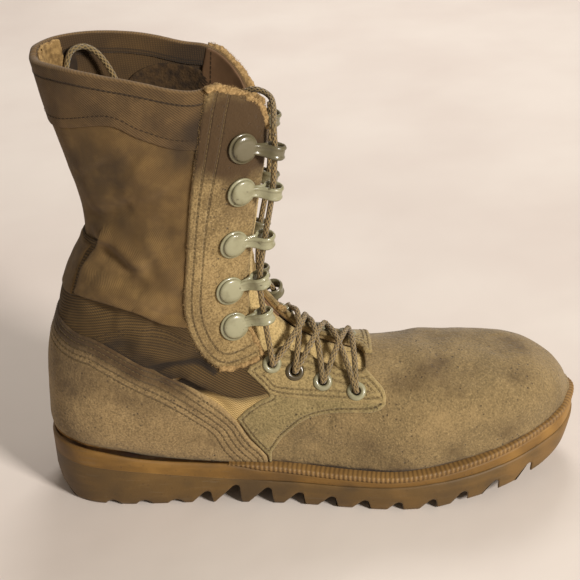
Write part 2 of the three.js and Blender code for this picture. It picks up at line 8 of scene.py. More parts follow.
import bmesh
import bpy
import numpy as np
from mathutils import Matrix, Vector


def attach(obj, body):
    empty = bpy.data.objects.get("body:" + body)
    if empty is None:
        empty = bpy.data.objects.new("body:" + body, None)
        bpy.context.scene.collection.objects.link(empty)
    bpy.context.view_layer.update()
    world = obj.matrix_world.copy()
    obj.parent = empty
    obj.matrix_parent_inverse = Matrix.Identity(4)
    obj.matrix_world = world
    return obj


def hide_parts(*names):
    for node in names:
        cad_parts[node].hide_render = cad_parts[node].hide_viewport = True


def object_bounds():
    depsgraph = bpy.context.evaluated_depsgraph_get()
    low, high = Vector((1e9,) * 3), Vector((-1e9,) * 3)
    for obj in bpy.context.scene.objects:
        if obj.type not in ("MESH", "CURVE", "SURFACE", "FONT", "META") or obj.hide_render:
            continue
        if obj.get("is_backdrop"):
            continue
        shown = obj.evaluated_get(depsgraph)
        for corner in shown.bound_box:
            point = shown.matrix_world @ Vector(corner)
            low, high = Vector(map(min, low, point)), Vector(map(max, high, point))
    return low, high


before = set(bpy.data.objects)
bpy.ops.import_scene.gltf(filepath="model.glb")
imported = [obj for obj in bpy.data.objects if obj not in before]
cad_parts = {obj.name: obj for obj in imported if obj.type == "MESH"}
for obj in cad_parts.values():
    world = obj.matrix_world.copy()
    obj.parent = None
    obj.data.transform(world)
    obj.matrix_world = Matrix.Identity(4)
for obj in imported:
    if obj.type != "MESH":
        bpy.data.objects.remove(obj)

cad_box = [list(corner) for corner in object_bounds()]

MIDDLE = np.array([157.805, -3.161, -1.5])  # the middle of the footprint, on the ground
WALL = 2.4
GAP = 0.3
LACE_RADIUS = 1.6
LATERAL, MEDIAL = -1, 1


def to_frame(points):
    return (np.asarray(points, float) - MIDDLE) / 1000


# ---------------------------------------------------------------- the upper's form

COLUMNS = ["back_x", "back_z", "front_x", "front_z", "centre", "turn", "lateral", "medial", "widest",
           "under",
           "over"]
SECTIONS = np.array([
    [310, 37, 309.8, 49, 5, 0, 9, 8, 0.45, 3.0, 2.3],
    [308, 35, 307.6, 54, 5, 0, 13.5, 12, 0.45, 3.5, 2.4],
    [303.5, 33, 302.5, 61, 4.5, 0, 22, 19, 0.42, 4.0, 2.5],
    [295, 31, 294, 67.3, 4, 0, 30.5, 26.5, 0.4, 4.5, 2.5],
    [283, 28.5, 282, 73.5, 3, -0.5, 38, 33.5, 0.4, 5.0, 2.45],
    [265, 25, 264, 77.5, 2, -1, 45.5, 39.5, 0.38, 5.0, 2.4],
    [245, 22, 244, 80, 1, -2, 49.5, 43.5, 0.36, 5.0, 2.3],
    [225, 19, 224, 81.5, 0, -3.5, 51.5, 46, 0.35, 5.0, 2.15],
    [205, 16, 203, 83.5, 0, -5.5, 51, 45, 0.34, 5.0, 2.0],
    [190, 15, 186, 86, 0, -7.5, 48, 42, 0.33, 5.0, 2.0],
    [165, 15, 170, 90.5, 0, -9, 43.5, 37, 0.33, 5.0, 1.9],
    [135, 17, 156, 97, 0, -9.5, 40, 33, 0.34, 4.8, 1.9],
    [100, 20, 146, 104, 0, -9.5, 38, 32, 0.34, 4.5, 1.9],
    [65, 24, 138, 112, 0, -9.5, 37, 34, 0.34, 4.0, 1.9],
    [34, 28, 133, 119, 0, -9.5, 36.5, 35.5, 0.32, 3.2, 1.9],
    [15, 30, 131, 123, 0, -9.5, 36, 35.5, 0.31, 2.6, 1.9],
    [6.5, 36, 130, 127, 0, -9.5, 36, 35.5, 0.31, 2.3, 1.9],
    [3.5, 46, 129, 132, 0, -9.5, 36, 35.5, 0.31, 2.2, 1.9],
    [3.5, 60, 129, 138, 0, -9.5, 36, 35, 0.32, 2.1, 1.9],
    [4.8, 80, 129, 146, 0, -9.5, 35.5, 34.5, 0.34, 2.1, 1.9],
    [7.5, 97, 130, 157, 0, -9.5, 35, 34, 0.38, 2.1, 1.9],
    [13.5, 115, 132, 168, 0, -9, 35, 34, 0.42, 2.1, 1.9],
    [18.5, 131, 134, 180, 0, -9, 35.5, 34.5, 0.45, 2.1, 1.9],
    [26, 147, 136, 191, 0, -8.5, 36.5, 35.5, 0.46, 2.1, 1.9],
    [33.5, 163, 138, 201, 0, -8, 37.5, 36.5, 0.47, 2.1, 1.9],
    [33, 183, 140, 212, 0, -7.5, 38.5, 37.5, 0.48, 2.1, 1.9],
    [26.5, 207, 142, 225, 0, -7, 39, 38.5, 0.48, 2.1, 1.9],
    [21, 230, 143, 236, 0, -6.5, 39, 38.5, 0.48, 2.1, 1.9],
    [17, 254, 144, 250, 0, -6, 39, 38.5, 0.48, 2.1, 1.9],
    [13, 278, 145, 272, 0, -6, 39, 38.5, 0.48, 2.1, 1.9],
])
LAST = len(SECTIONS) - 1
TOE_BULGE = 2.2  # how far the toe swells past the first section


def smoothstep(low, high, x):
    t = np.clip((x - low) / (high - low), 0, 1)
    return t * t * (3 - 2 * t)


def section_at(place):
    """The sections at an array of places along the table, smoothly between its rows."""
    at = np.clip(place, 0, LAST)
    row = np.minimum(at.astype(int), LAST - 1)
    t = (at - row)[..., None]

    def value(i):
        return SECTIONS[np.clip(i, 0, LAST)]

    start, end = value(row), value(row + 1)
    leaving, arriving = (end - value(row - 1)) / 2, (value(row + 2) - start) / 2
    mixed = start * (1 + 2 * t) * (1 - t) ** 2 + end * t * t * (3 - 2 * t)
    mixed += leaving * t * (1 - t) ** 2 - arriving * t * t * (1 - t)
    return dict(zip(COLUMNS, np.moveaxis(mixed, -1, 0)))


def along_of(s):
    """Each section's length and its direction from back to front."""
    x, z = s["front_x"] - s["back_x"], s["front_z"] - s["back_z"]
    length = np.hypot(x, z)
    return length, x / length, z / length


def ring_point(place, angle):
    """Points of the form: angle runs from the back or bottom over the lateral side to the front."""
    s = section_at(place)
    length, along_x, along_z = along_of(s)
    c, up = np.cos(angle), np.sin(angle)
    power = np.where(up < 0, s["under"], s["over"])
    reach = (np.abs(c) ** power + np.abs(up) ** power) ** (-1 / power)
    rise = up * reach
    low = length * s["widest"]
    climb = low + np.where(rise < 0, low, length - low) * rise
    half = np.where(c < 0, s["lateral"], s["medial"])
    y = s["centre"] + s["turn"] * np.maximum(rise, 0) + half * c * reach
    return np.stack([s["back_x"] + along_x * climb, y, s["back_z"] + along_z * climb], -1)


# A table that turns an even share of the way round each section into an angle, each half on its own.
TABLE_PLACES = np.linspace(0, LAST, 8 * LAST + 1)
SHARES = np.linspace(0, 1, 257)


def share_table():
    dense = np.linspace(0, 1, 361)
    place, share = np.meshgrid(TABLE_PLACES, dense, indexing="ij")
    points = ring_point(place, -math.pi / 2 - 2 * math.pi * share)
    steps = np.linalg.norm(np.diff(points, axis=1), axis=2)
    middle = len(dense) // 2
    rows = []
    for step in steps:
        first, second = np.cumsum(step[:middle]), np.cumsum(step[middle:])
        run = np.concatenate([[0], first / first[-1] / 2, 0.5 + second / second[-1] / 2])
        rows.append(np.interp(SHARES, run, dense))
    return np.array(rows)


SHARE_TABLE = share_table()


def surface(place, share):
    """Points of the form by place (0 at the toe, 29 above the collar, below 0 its cap) and share round."""
    share = share - np.floor(share)
    row = np.clip(place, 0, LAST) * 8
    r = np.minimum(row.astype(int), len(TABLE_PLACES) - 2)
    column = share * (len(SHARES) - 1)
    k = np.minimum(column.astype(int), len(SHARES) - 2)
    a, b = row - r, column - k
    t = SHARE_TABLE
    turned = ((t[r, k] * (1 - a) + t[r + 1, k] * a) * (1 - b)
              + (t[r, k + 1] * (1 - a) + t[r + 1, k + 1] * a) * b)
    points = ring_point(place, -math.pi / 2 - 2 * math.pi * turned)
    cap = np.clip(-place, 0, 1) * math.pi / 2
    heart = np.array([SECTIONS[0, 0], SECTIONS[0, 4], (SECTIONS[0, 1] + SECTIONS[0, 3]) / 2])
    capped = heart + (points - heart) * np.cos(cap)[..., None]
    capped[..., 0] += TOE_BULGE * np.sin(cap)
    return np.where((place < 0)[..., None], capped, points)


def front_line():
    s = section_at(TABLE_PLACES)
    steps = np.hypot(np.diff(s["front_x"]), np.diff(s["front_z"]))
    return np.concatenate([[0], np.cumsum(steps)])


FRONT_LINE = front_line()


def front_length(place):
    """How far along the top of the foot and up the front a place lies."""
    return np.interp(place, TABLE_PLACES, FRONT_LINE)


# ---------------------------------------------------------------- lines and outlines

def curve(points, step=2.0, closed=False):
    """A smooth curve through points, as centripetal Catmull-Rom, sampled about every step."""
    p = np.asarray(points, float)
    if closed:
        p = np.vstack([p[-1], p, p[0], p[1]])
    else:
        p = np.vstack([2 * p[0] - p[1], p, 2 * p[-1] - p[-2]])
    knots = np.concatenate([[0], np.cumsum(np.maximum(np.linalg.norm(np.diff(p, axis=0), axis=1),
                                                      1e-6) ** 0.5)])
    out = []
    for i in range(1, len(p) - 2):
        t0, t1, t2, t3 = knots[i - 1:i + 3]
        count = max(1, round(np.linalg.norm(p[i + 1] - p[i]) / step))
        t = np.linspace(t1, t2, count, endpoint=False)[:, None]
        a1 = (t1 - t) / (t1 - t0) * p[i - 1] + (t - t0) / (t1 - t0) * p[i]
        a2 = (t2 - t) / (t2 - t1) * p[i] + (t - t1) / (t2 - t1) * p[i + 1]
        a3 = (t3 - t) / (t3 - t2) * p[i + 1] + (t - t2) / (t3 - t2) * p[i + 2]
        b1 = (t2 - t) / (t2 - t0) * a1 + (t - t0) / (t2 - t0) * a2
        b2 = (t3 - t) / (t3 - t1) * a2 + (t - t1) / (t3 - t1) * a3
        out.append((t2 - t) / (t2 - t1) * b1 + (t - t1) / (t2 - t1) * b2)
    if not closed:
        out.append(p[-2][None])
    return np.vstack(out)


def to_line(line, x, z):
    """The distance to an open line, and how far along it (0 to 1) the nearest point lies."""
    line = np.asarray(line, float)
    best, where = np.full(x.shape, 1e9), np.zeros(x.shape)
    runs = np.concatenate([[0], np.cumsum(np.linalg.norm(np.diff(line, axis=0), axis=1))])
    for i, (p, q) in enumerate(zip(line[:-1], line[1:])):
        e = q - p
        t = np.clip(((x - p[0]) * e[0] + (z - p[1]) * e[1]) / max(e @ e, 1e-9), 0, 1)
        d = np.hypot(x - p[0] - t * e[0], z - p[1] - t * e[1])
        nearer = d < best
        best = np.where(nearer, d, best)
        where = np.where(nearer, (runs[i] + t * (runs[i + 1] - runs[i])) / runs[-1], where)
    return best, where


def within(outline, x, z):
    """How far inside a closed outline a point lies; negative outside."""
    outline = np.asarray(outline, float)
    best, inside = np.full(x.shape, 1e9), np.zeros(x.shape, bool)
    for p, q in zip(outline, np.roll(outline, -1, axis=0)):
        e = q - p
        t = np.clip(((x - p[0]) * e[0] + (z - p[1]) * e[1]) / max(e @ e, 1e-9), 0, 1)
        best = np.minimum(best, np.hypot(x - p[0] - t * e[0], z - p[1] - t * e[1]))
        if e[1]:
            crosses = (p[1] > z) != (q[1] > z)
            inside ^= crosses & (x < p[0] + e[0] * (z - p[1]) / e[1])
    return np.where(inside, best, -best)


LATERAL_RIM = curve([[-20, 262], [12, 263], [36, 264], [64, 260], [100, 252.5], [112, 254], [124, 249],
                     [133, 240],
                     [138, 226], [160, 226]])
MEDIAL_RIM = curve([[-20, 265], [12, 266], [36, 265.5], [64, 262], [92, 256], [106, 255], [117, 249.5],
                    [125, 240],
                    [131, 229], [160, 218]])
TOP_LINE = curve([[-10, 40], [10, 39.5], [32, 37], [60, 31.5], [89, 28.5], [127, 26.5], [164, 23.5],
                  [208, 23],
                  [251, 30], [290, 38.5], [322, 46]])
BAND_LINE = curve([[-10, 28.5], [14, 27.5], [43, 25.2], [89, 19.5], [130, 16.5], [193, 15.7], [251, 20.8],
                   [290, 27],
                   [322, 34]])
COUNTER_EDGE = curve([[-30, 119], [10, 118.5], [24.6, 112.3], [37.1, 109.9], [49.4, 102.7], [63, 93.6],
                      [76.5, 85],
                      [92.5, 74], [111.3, 57.2], [119, 43], [128.3, 31.6], [129.2, 18]])
FACING = np.vstack([curve([[108.5, 280], [106.2, 253], [103.8, 243.5], [99.9, 222.5], [95, 194.5],
                           [90.3, 158.5],
                           [87, 127.5], [89.2, 111.5], [93.5, 100.5], [98, 93.8], [104.5, 89.6], [110, 88.6],
                           [119.5, 90.8], [128.4, 94]], 4), [[150, 119], [170, 280]]])
STAY_LOW = [[168.2, 60.8], [158.6, 59.4], [149.4, 55.5], [138.9, 45.5], [131.5, 34], [131, 18]]
STAY_BACK = [[130, 18], [129.3, 32], [120, 43.5], [112.5, 57.5], [118, 63.2], [125, 68.3], [132, 71.3]]
STAY_TOP = [[127.5, 77.5], [119, 86.5], [121, 89.2], [129.4, 92.7], [151, 117.6]]
LATERAL_STAY = np.vstack([STAY_BACK, STAY_TOP, [[182, 118], [185.8, 81.5]], curve([
    [191.2, 77], [196.8, 71.5], [196.8, 65.5], [190.7, 62.2], [180, 61.4], *STAY_LOW[:4]], 3), STAY_LOW[4:]])
MEDIAL_STAY = np.vstack([STAY_BACK, STAY_TOP, [[193, 125], [191, 66]], curve([
    [186, 62.2], *STAY_LOW[:4]], 3), STAY_LOW[4:]])
# The shaft's canvas ends in a fold over the ankle's webbing, which a counter and a strap then cover below.
CANVAS_EDGE = np.vstack([curve([[46, 169], [42, 163], [37, 156], [32.5, 148.5], [29.5, 140], [27, 134]], 2),
                         curve([[28, 133.2], [38, 132.8], [50, 130.5], [63, 126], [74, 119.5], [90, 115.5],
                                [104, 112]], 2)])
CANVAS = np.vstack([CANVAS_EDGE, [[124, 112], [124, 290], [43, 290]]])
ANKLE_WEB = np.vstack([curve([[50, 172], [42, 160], [38, 150], [37, 138], [50, 134], [63, 130], [76, 122],
                              [92, 118],
                              [104, 114], [122, 110], [136, 98], [140, 86], [132, 74], [118, 71], [99, 75.6],
                              [82, 85.5], [75, 83], [60, 90], [36, 104], [12, 110], [-12, 112]], 3),
                       [[-12, 176], [38, 176]]])
BACK_STRIP = [[-12, 127], [12, 129], [25.5, 131.5], [28, 140], [31, 148.5], [35.5, 156.5], [39.5, 162],
              [33, 161.5], [-12, 158]]
GUSSET = [[78, 93], [88, 88], [99, 79], [118, 74], [136, 75], [138, 66], [122, 60], [112, 52], [104, 58],
          [80, 80]]
WEB_ARC = curve([[30, 108], [36.5, 111], [49, 116], [58, 117], [73.5, 114.5], [90, 107], [104, 99]])
WEB_RIBS = curve([[-20, 96], [0, 102], [30, 112], [52, 116], [76, 112], [96, 100], [118, 86], [150, 72]], 3)
WEB_CREASE = curve([[60, 90], [67, 91], [76, 94.2], [86, 94.8], [95, 92.5], [101, 88]])
COUNTER_EDGE_SHADE = np.vstack([COUNTER_EDGE, [[129.2, -20], [-60, -20], [-60, 119]]])
COLLAR_BAND = curve([[-20, 231], [26, 231], [57, 236], [72, 229], [89, 223], [104, 222], [120, 222]])

THROAT = {
    "place": [8.93, 8.97, 9.1, 9.5, 10, 10.9, 12.2, 12.66, 13.3, 16.5, 19, 21.2, 22.8, 24.9, 26.3, 29],
    "lateral": [-23, -28, -31.5, -31.3, -30, -27.2, -27.4, -31, -28.5, -22, -21.5, -22.3, -23.5, -24, -23,
                -23],
    "medial": [-20.5, -15, -12, -11, -11, -11, -9.5, -8.5, -7, -1, 1.5, 3.5, 5, 8.5, 12, 16],
}


def throat_outline():
    lengths = front_length(np.array(THROAT["place"]))
    sides = np.vstack([np.column_stack([lengths, THROAT["lateral"]]),
                       np.column_stack([lengths, THROAT["medial"]])[::-1]])
    return sides


THROAT_OUTLINE = throat_outline()


def line_height(line, x):
    return np.interp(x, line[:, 0], line[:, 1])


class Spots:
    """Places on the form with what the panels' outlines need to know of them."""

    def __init__(self, params):
        self.place, self.turn = params[:, 0], params[:, 1]
        self.share = self.turn % 1
        self.at = surface(self.place, self.share)
        self.x, self.y, self.z = self.at.T
        self.side = smoothstep(-6, 6, self.y)

    def under_rim(self):
        rim = (line_height(LATERAL_RIM, self.x) * (1 - self.side)
               + line_height(MEDIAL_RIM, self.x) * self.side)
        return rim - self.z

    def off_throat(self):
        front = (self.share > 0.27) & (self.share < 0.73) & (self.place > 6)
        return np.where(front, -within(THROAT_OUTLINE, front_length(self.place), self.y), 30)

    def over_sole(self, sunk):
        return self.z - line_height(TOP_LINE, self.x) + sunk

    def inside(self, outline):
        return within(outline, self.x, self.z)


# ---------------------------------------------------------------- folds and dents

# Each fold: side, height (troughs are negative), width, and its line in the side view.
SHAFT_FOLDS = [
    (LATERAL, 2.4, 5.0, [[37, 171], [46.6, 170], [53.6, 166], [60.3, 159.4], [67, 150]]),
    (LATERAL, -2.2, 5.0, [[35, 176], [46.5, 181], [55, 186], [66, 189]]),
    (LATERAL, -2.4, 5.5, [[43, 165], [50, 160], [57, 154], [63, 147]]),
    (LATERAL, 2.0, 6.0, [[66, 181], [71, 173], [77, 160], [81, 146], [83, 134]]),
    (LATERAL, -1.3, 7.0, [[74, 186], [82, 172], [87, 158]]),
    (LATERAL, 2.6, 7.0, [[30, 144], [43, 141], [56, 137.5], [68.8, 134], [83, 130]]),
    (LATERAL, -2.6, 4.0, [[29, 132], [42, 128], [50, 125.5], [63, 121], [74, 115], [88.5, 110]]),
    (LATERAL, -2.2, 5.5, [[33, 151], [46, 148], [57, 145.4], [70, 141]]),
    (LATERAL, -1.6, 12.0, [[44, 214], [50, 205], [50, 196]]),
    (LATERAL, -1.2, 9.0, [[62, 196], [68, 188], [72, 196]]),
    (LATERAL, 1.3, 12.0, [[64, 214], [74, 206], [80, 196]]),
    (LATERAL, 1.6, 7.0, [[46, 122], [58, 121], [70, 117]]),
    (LATERAL, 2.0, 7.0, [[52, 108], [66, 104], [80, 98], [92, 97]]),
    (LATERAL, -2.0, 3.2, [[60, 90], [67, 91], [76, 94.2], [86, 94.8], [95, 92.5], [101, 88]]),
    (LATERAL, 1.6, 5.0, [[80, 89], [92, 86], [104, 82], [116, 80]]),
    (LATERAL, -2.2, 4.0, [[60, 87], [76, 80], [92, 74], [104, 66], [112, 58]]),
    (MEDIAL, 2.2, 6.0, [[38, 172], [50, 168], [60, 160], [68, 148]]),
    (MEDIAL, -2.2, 5.5, [[36, 162], [48, 158], [58, 149], [64, 140]]),
    (MEDIAL, 2.6, 6.0, [[32, 141], [46, 137], [62, 132], [82, 127]]),
    (MEDIAL, -2.6, 4.0, [[31, 132], [46, 128], [62, 123], [84, 114]]),
    (MEDIAL, -1.6, 11.0, [[46, 212], [52, 202], [58, 196]]),
    (MEDIAL, -1.6, 6.0, [[58, 106], [76, 101], [94, 97]]),
    (MEDIAL, 1.6, 8.0, [[70, 186], [80, 168], [84, 150]]),
    (MEDIAL, -1.4, 4.0, [[60, 90], [80, 83], [100, 72]]),
]
# Across the toe's flex the troughs are given from above: x, y.
VAMP_FOLDS = [
    (-0.8, 7.0, [[214, -46], [208, -28], [206, -14]]),
    (0.9, 8.0, [[224, -44], [220, -26], [218, -6], [222, 18], [230, 36]]),
    (-1.0, 7.0, [[236, -42], [232, -24], [228, -4], [232, 16]]),
    (-0.8, 9.0, [[262, -14], [270, 2], [268, 16]]),
    (-0.7, 6.0, [[250, -36], [246, -22]]),
]
TIGHT_FOLDS = [(LATERAL, -1.6, 1.6, [[167.5, 61], [165, 56], [161.5, 50]])]


def fold_sum(folds, x, z, side):
    total = np.zeros(x.shape)
    for which, height, width, line in folds:
        distance, where = to_line(curve(line, 3), x, z)
        taper = smoothstep(0, 0.22, where) * smoothstep(0, 0.22, 1 - where)
        taper = np.where((where <= 0) | (where >= 1), 0, taper)
        total += height * np.exp(-(distance / width) ** 2) * taper * (side if which == MEDIAL else 1 - side)
    return total


def ripple(points, pitch, seed):
    """A soft uneven surface: waves in fixed, arbitrary directions, about pitch apart."""
    own = np.random.default_rng(seed)
    total = np.zeros(len(points))
    for _ in range(9):
        way = own.normal(size=3)
        way *= 2 * math.pi / pitch / np.linalg.norm(way) * own.uniform(0.6, 1.5)
        total += np.sin(points @ way + own.uniform(0, 6.3))
    return total / 3


def dents(points):
    """How far folds, dents and unevenness carry the form's surface out."""
    x, y, z = points.T
    side = smoothstep(-12, 12, y)
    total = 1.25 * fold_sum(SHAFT_FOLDS, x, z, side) + fold_sum(TIGHT_FOLDS, x, z, side)
    top = smoothstep(45, 65, z) * smoothstep(190, 205, x)
    for height, width, line in VAMP_FOLDS:
        distance, where = to_line(curve(line, 4), x, y)
        total += (height * np.exp(-(distance / width) ** 2) * top * smoothstep(0, 0.2, where)
                  * smoothstep(0, 0.2, 1 - where))
    canvas = smoothstep(100, 130, z) * smoothstep(108, 92, x)
    return (total + ripple(points, 34, 3) * (0.22 + 0.4 * canvas)
            + ripple(points, 13, 5) * (0.08 + 0.06 * canvas))


def skin(params, lift):
    """Points at a lift above the dented form, with the form's own outward direction."""
    place, share = params[:, 0], params[:, 1]
    at = surface(place, share)
    behind, ahead = np.maximum(place - 0.03, -0.98), np.minimum(place + 0.03, LAST)
    along = surface(ahead, share) - surface(behind, share)
    across = surface(place, share + 0.002) - surface(place, share - 0.002)
    out = np.cross(across, along)
    size = np.linalg.norm(out, axis=1, keepdims=True)
    out = np.where(size > 1e-9, out / np.maximum(size, 1e-9), [1, 0, 0])
    height = np.asarray(lift) + dents(at)
    return at + out * (height[:, None] if np.ndim(height) else height), out


# ---------------------------------------------------------------- cutting and making meshes

def spaced_places(low, high, step):
    dense = np.linspace(low, high, 400)
    rounds = np.linspace(0.12, 0.5, 12)
    place, share = np.meshgrid(dense, rounds, indexing="ij")
    moves = np.linalg.norm(np.diff(surface(place, share), axis=0), axis=2).mean(1)
    run = np.concatenate([[0], np.cumsum(moves)])
    return np.interp(np.linspace(0, run[-1], max(2, round(run[-1] / step))), run, dense)


def grid(places, shares):
    """Triangles over places and shares, wound so that they face out."""
    p, s = np.meshgrid(places, shares, indexing="ij")
    n = len(shares)
    a = (np.arange(len(places) - 1)[:, None] * n + np.arange(n - 1)).ravel()
    tris = np.vstack([np.column_stack([a, a + 1, a + n + 1]), np.column_stack([a, a + n + 1, a + n])])
    return np.column_stack([p.ravel(), s.ravel()]), tris


def cut(params, tris, values, keep=False):
    """Splits triangles where values pass zero. Those below are dropped, unless keep says otherwise."""
    values = np.where(np.abs(values) < 1e-5, 1e-5, values)
    over = values > 0
    count = over[tris].sum(1)
    parts = [tris[count == 3]] + ([tris[count == 0]] if keep else [])
    edges = []
    mixed = []
    for lone_over in (True, False):
        some = tris[count == (1 if lone_over else 2)]
        lone = np.argmax(over[some] == lone_over, axis=1)
        turned = np.stack([some[np.arange(len(some)), (lone + k) % 3] for k in range(3)], 1)
        mixed.append((lone_over, turned))
        edges += [turned[:, [0, 1]], turned[:, [0, 2]]]
    pairs = np.sort(np.vstack(edges), axis=1)
    unique, index = np.unique(pairs, axis=0, return_inverse=True)
    index = index.ravel() + len(params)
    a, b = unique.T
    t = (values[a] / (values[a] - values[b]))[:, None]
    params = np.vstack([params, params[a] + (params[b] - params[a]) * t])
    start = 0
    segments = []
    for lone_over, turned in mixed:
        n = len(turned)
        ab, ac = index[start:start + n], index[start + n:start + 2 * n]
        start += 2 * n
        lone, b, c = turned.T
        segments.append(np.column_stack([ab, ac]))
        if lone_over or keep:
            parts.append(np.column_stack([lone, ab, ac]))
        if not lone_over or keep:
            parts += [np.column_stack([ab, b, c]), np.column_stack([ab, c, ac])]
    tris = np.vstack(parts)
    used, flat = np.unique(tris, return_inverse=True)
    return params[used], flat.reshape(-1, 3), params, np.vstack(segments)


def contour(region, level, patch):
    """Chains of places where a region function passes a level, in order along each chain."""
    params, tris = patch
    *_, points, segments = cut(params, tris, region(Spots(params)) - level)
    links = {}
    for a, b in segments:
        links.setdefault(a, []).append(b)
        links.setdefault(b, []).append(a)
    chains = []
    while links:
        start = next((k for k, v in links.items() if len(v) == 1), next(iter(links)))
        chain = [start]
        while True:
            nexts = links.pop(chain[-1], [])
            for other in nexts:
                if other in links:
                    links[other].remove(chain[-1])
            nexts = [n for n in nexts if n in links]
            if not nexts:
                break
            chain.append(nexts[0])
        if len(chain) > 3:
            chains.append(points[chain])
    return chains


def open_edges(tris):
    """The directed edges that only one triangle has."""
    edges = np.vstack([tris[:, [0, 1]], tris[:, [1, 2]], tris[:, [2, 0]]])
    _, first, counts = np.unique(np.sort(edges, axis=1), axis=0, return_index=True, return_counts=True)
    return edges[first[counts == 1]]


def make_piece(name, points, faces, material, uv=None, values=None, merge=2e-6, inner=None):
    """A mesh piece in the frame, from millimetre points. uv and values are given for each point."""
    mesh = bpy.data.meshes.new(name)
    mesh.from_pydata(to_frame(points).tolist(), [], [list(map(int, face)) for face in faces])
    if uv is not None:
        layer = mesh.uv_layers.new(name="cloth")
        corners = np.empty(len(mesh.loops), np.int32)
        mesh.loops.foreach_get("vertex_index", corners)
        layer.data.foreach_set("uv", (np.asarray(uv)[corners] / 1000).astype(np.float32).ravel())
    for label, numbers in (values or {}).items():
        mesh.attributes.new(label, "FLOAT", "POINT").data.foreach_set("value",
                                                                      np.asarray(numbers, np.float32))
    mesh.materials.append(material)
    if inner is not None:
        other, is_inner = inner
        mesh.materials.append(other)
        mesh.polygons.foreach_set("material_index", np.asarray(is_inner, np.int32))
    tidy = bmesh.new()
    tidy.from_mesh(mesh)
    bmesh.ops.remove_doubles(tidy, verts=tidy.verts, dist=merge)
    tidy.to_mesh(mesh)
    tidy.free()
    mesh.polygons.foreach_set("use_smooth", np.ones(len(mesh.polygons), bool))
    piece = bpy.data.objects.new(name, mesh)
    bpy.context.scene.collection.objects.link(piece)
    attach(piece, "root")
    return piece


def uv_of(spots):
    """Distances round and along the upper, for weaves."""
    return np.column_stack([spots.turn * 300, spots.z])


def panel(name, region, low, high, patch, material, edge=1.0, both=False, inner=None, marks=None,
          uv=uv_of):
    """A layer of the upper between two lifts, cut to a region and rounded along its edge."""
    params, tris = patch
    for level in (0, 0.12 * edge, 0.45 * edge, edge):
        params, tris, *_ = cut(params, tris, region(Spots(params)) - level, keep=level > 0)
    spots = Spots(params)
    inside = region(spots)
    high = high(spots) if callable(high) else high
    t = np.clip(inside / edge, 0, 1)
    fullness = 0.3 + 0.7 * np.sqrt(1 - (1 - t) ** 2)
    if both:
        middle, half = (low + high) / 2, (high - low) / 2
        top, bottom = middle + half * fullness, middle - half * fullness
    else:
        top, bottom = low + (high - low) * fullness, np.full(len(params), low)
    outside, _ = skin(params, top)
    under, _ = skin(params, bottom)
    count = len(params)
    rim = open_edges(tris)
    a, b = rim.T
    faces = np.vstack([tris, tris[:, ::-1] + count, np.column_stack([b, a, a + count]),
                       np.column_stack([b, a + count, b + count])])
    is_inner = np.zeros(len(faces), bool)
    is_inner[len(tris):2 * len(tris)] = True
    values = {"edge": np.tile(np.clip(inside, 0, 30), 2)}
    for label, worked in (marks or {}).items():
        values[label] = np.tile(worked(spots), 2)
    return make_piece(name, np.vstack([outside, under]), faces, material, np.tile(uv(spots), (2, 1)),
                      values,
                      inner=None if inner is None else (inner, is_inner))


def frames_along(points, normals=None):
    """Tangent, outward and sideways directions along a line."""
    tangent = np.gradient(points, axis=0)
    tangent /= np.maximum(np.linalg.norm(tangent, axis=1, keepdims=True), 1e-9)
    if normals is None:
        normal = np.cross(tangent[0], [0.3, 0.2, 1.0])
        normals = []
        for t in tangent:
            normal = normal - t * (normal @ t)
            normal /= np.linalg.norm(normal)
            normals.append(normal)
        normals = np.array(normals)
    side = np.cross(normals, tangent)
    side /= np.maximum(np.linalg.norm(side, axis=1, keepdims=True), 1e-9)
    return tangent, np.cross(tangent, side), side


def tube(name, points, radius, material, sides=12, profile=None):
    """A closed round cord along a line, with uv running round and along it."""
    points = np.asarray(points)
    _, normal, side = frames_along(points)
    angle = np.linspace(0, 2 * math.pi, sides + 1)
    radii = np.full(len(points), radius) if profile is None else profile
    rings = points[:, None] + radii[:, None, None] * (
        np.cos(angle)[None, :, None] * normal[:, None] + np.sin(angle)[None, :, None] * side[:, None])
    run = np.concatenate([[0], np.cumsum(np.linalg.norm(np.diff(points, axis=0), axis=1))])
    uv = np.stack(np.meshgrid(run, angle * LACE_RADIUS, indexing="ij"), -1)[..., ::-1].reshape(-1, 2)
    n = sides + 1
    a = (np.arange(len(points) - 1)[:, None] * n + np.arange(sides)).ravel()
    quads = np.column_stack([a, a + 1, a + n + 1, a + n]).tolist()
    caps = [list(range(sides))[::-1], [len(points) * n - n + i for i in range(sides)]]
    return make_piece(name, rings.reshape(-1, 3), quads + caps, material, uv)


def scatter(name, template, faces, frames, material, sizes=None):
    """Copies of a small template, joined: frames are (place, along, out, side) arrays."""
    at, along, out, side = frames
    sizes = np.ones((len(at), 3)) if sizes is None else sizes
    local = template[None] * sizes[:, None]
    points = (at[:, None] + local[..., :1] * along[:, None] + local[..., 1:2] * side[:, None]
              + local[..., 2:] * out[:, None])
    n = len(template)
    shifts = np.arange(len(at)) * n
    every = [[corner + shift for corner in face] for shift in shifts for face in faces]
    return make_piece(name, points.reshape(-1, 3), every, material, merge=1e-8)


# ---------------------------------------------------------------- places for hooks, eyelets and laces

def front_point(place, y):
    """The form's point at a y on the front of a section."""
    s = section_at(np.asarray(place, float))
    length, along_x, along_z = along_of(s)
    share = 1.0
    for _ in range(8):
        out = y - s["centre"] - s["turn"] * share
        half = np.where(out < 0, s["lateral"], s["medial"])
        share = (1 - np.minimum(np.abs(out) / half, 0.999) ** s["over"]) ** (1 / s["over"])
    low = length * s["widest"]
    up = low + (length - low) * share
    return np.array([s["back_x"] + along_x * up, y, s["back_z"] + along_z * up])


def unit(v):
    return v / np.linalg.norm(v)


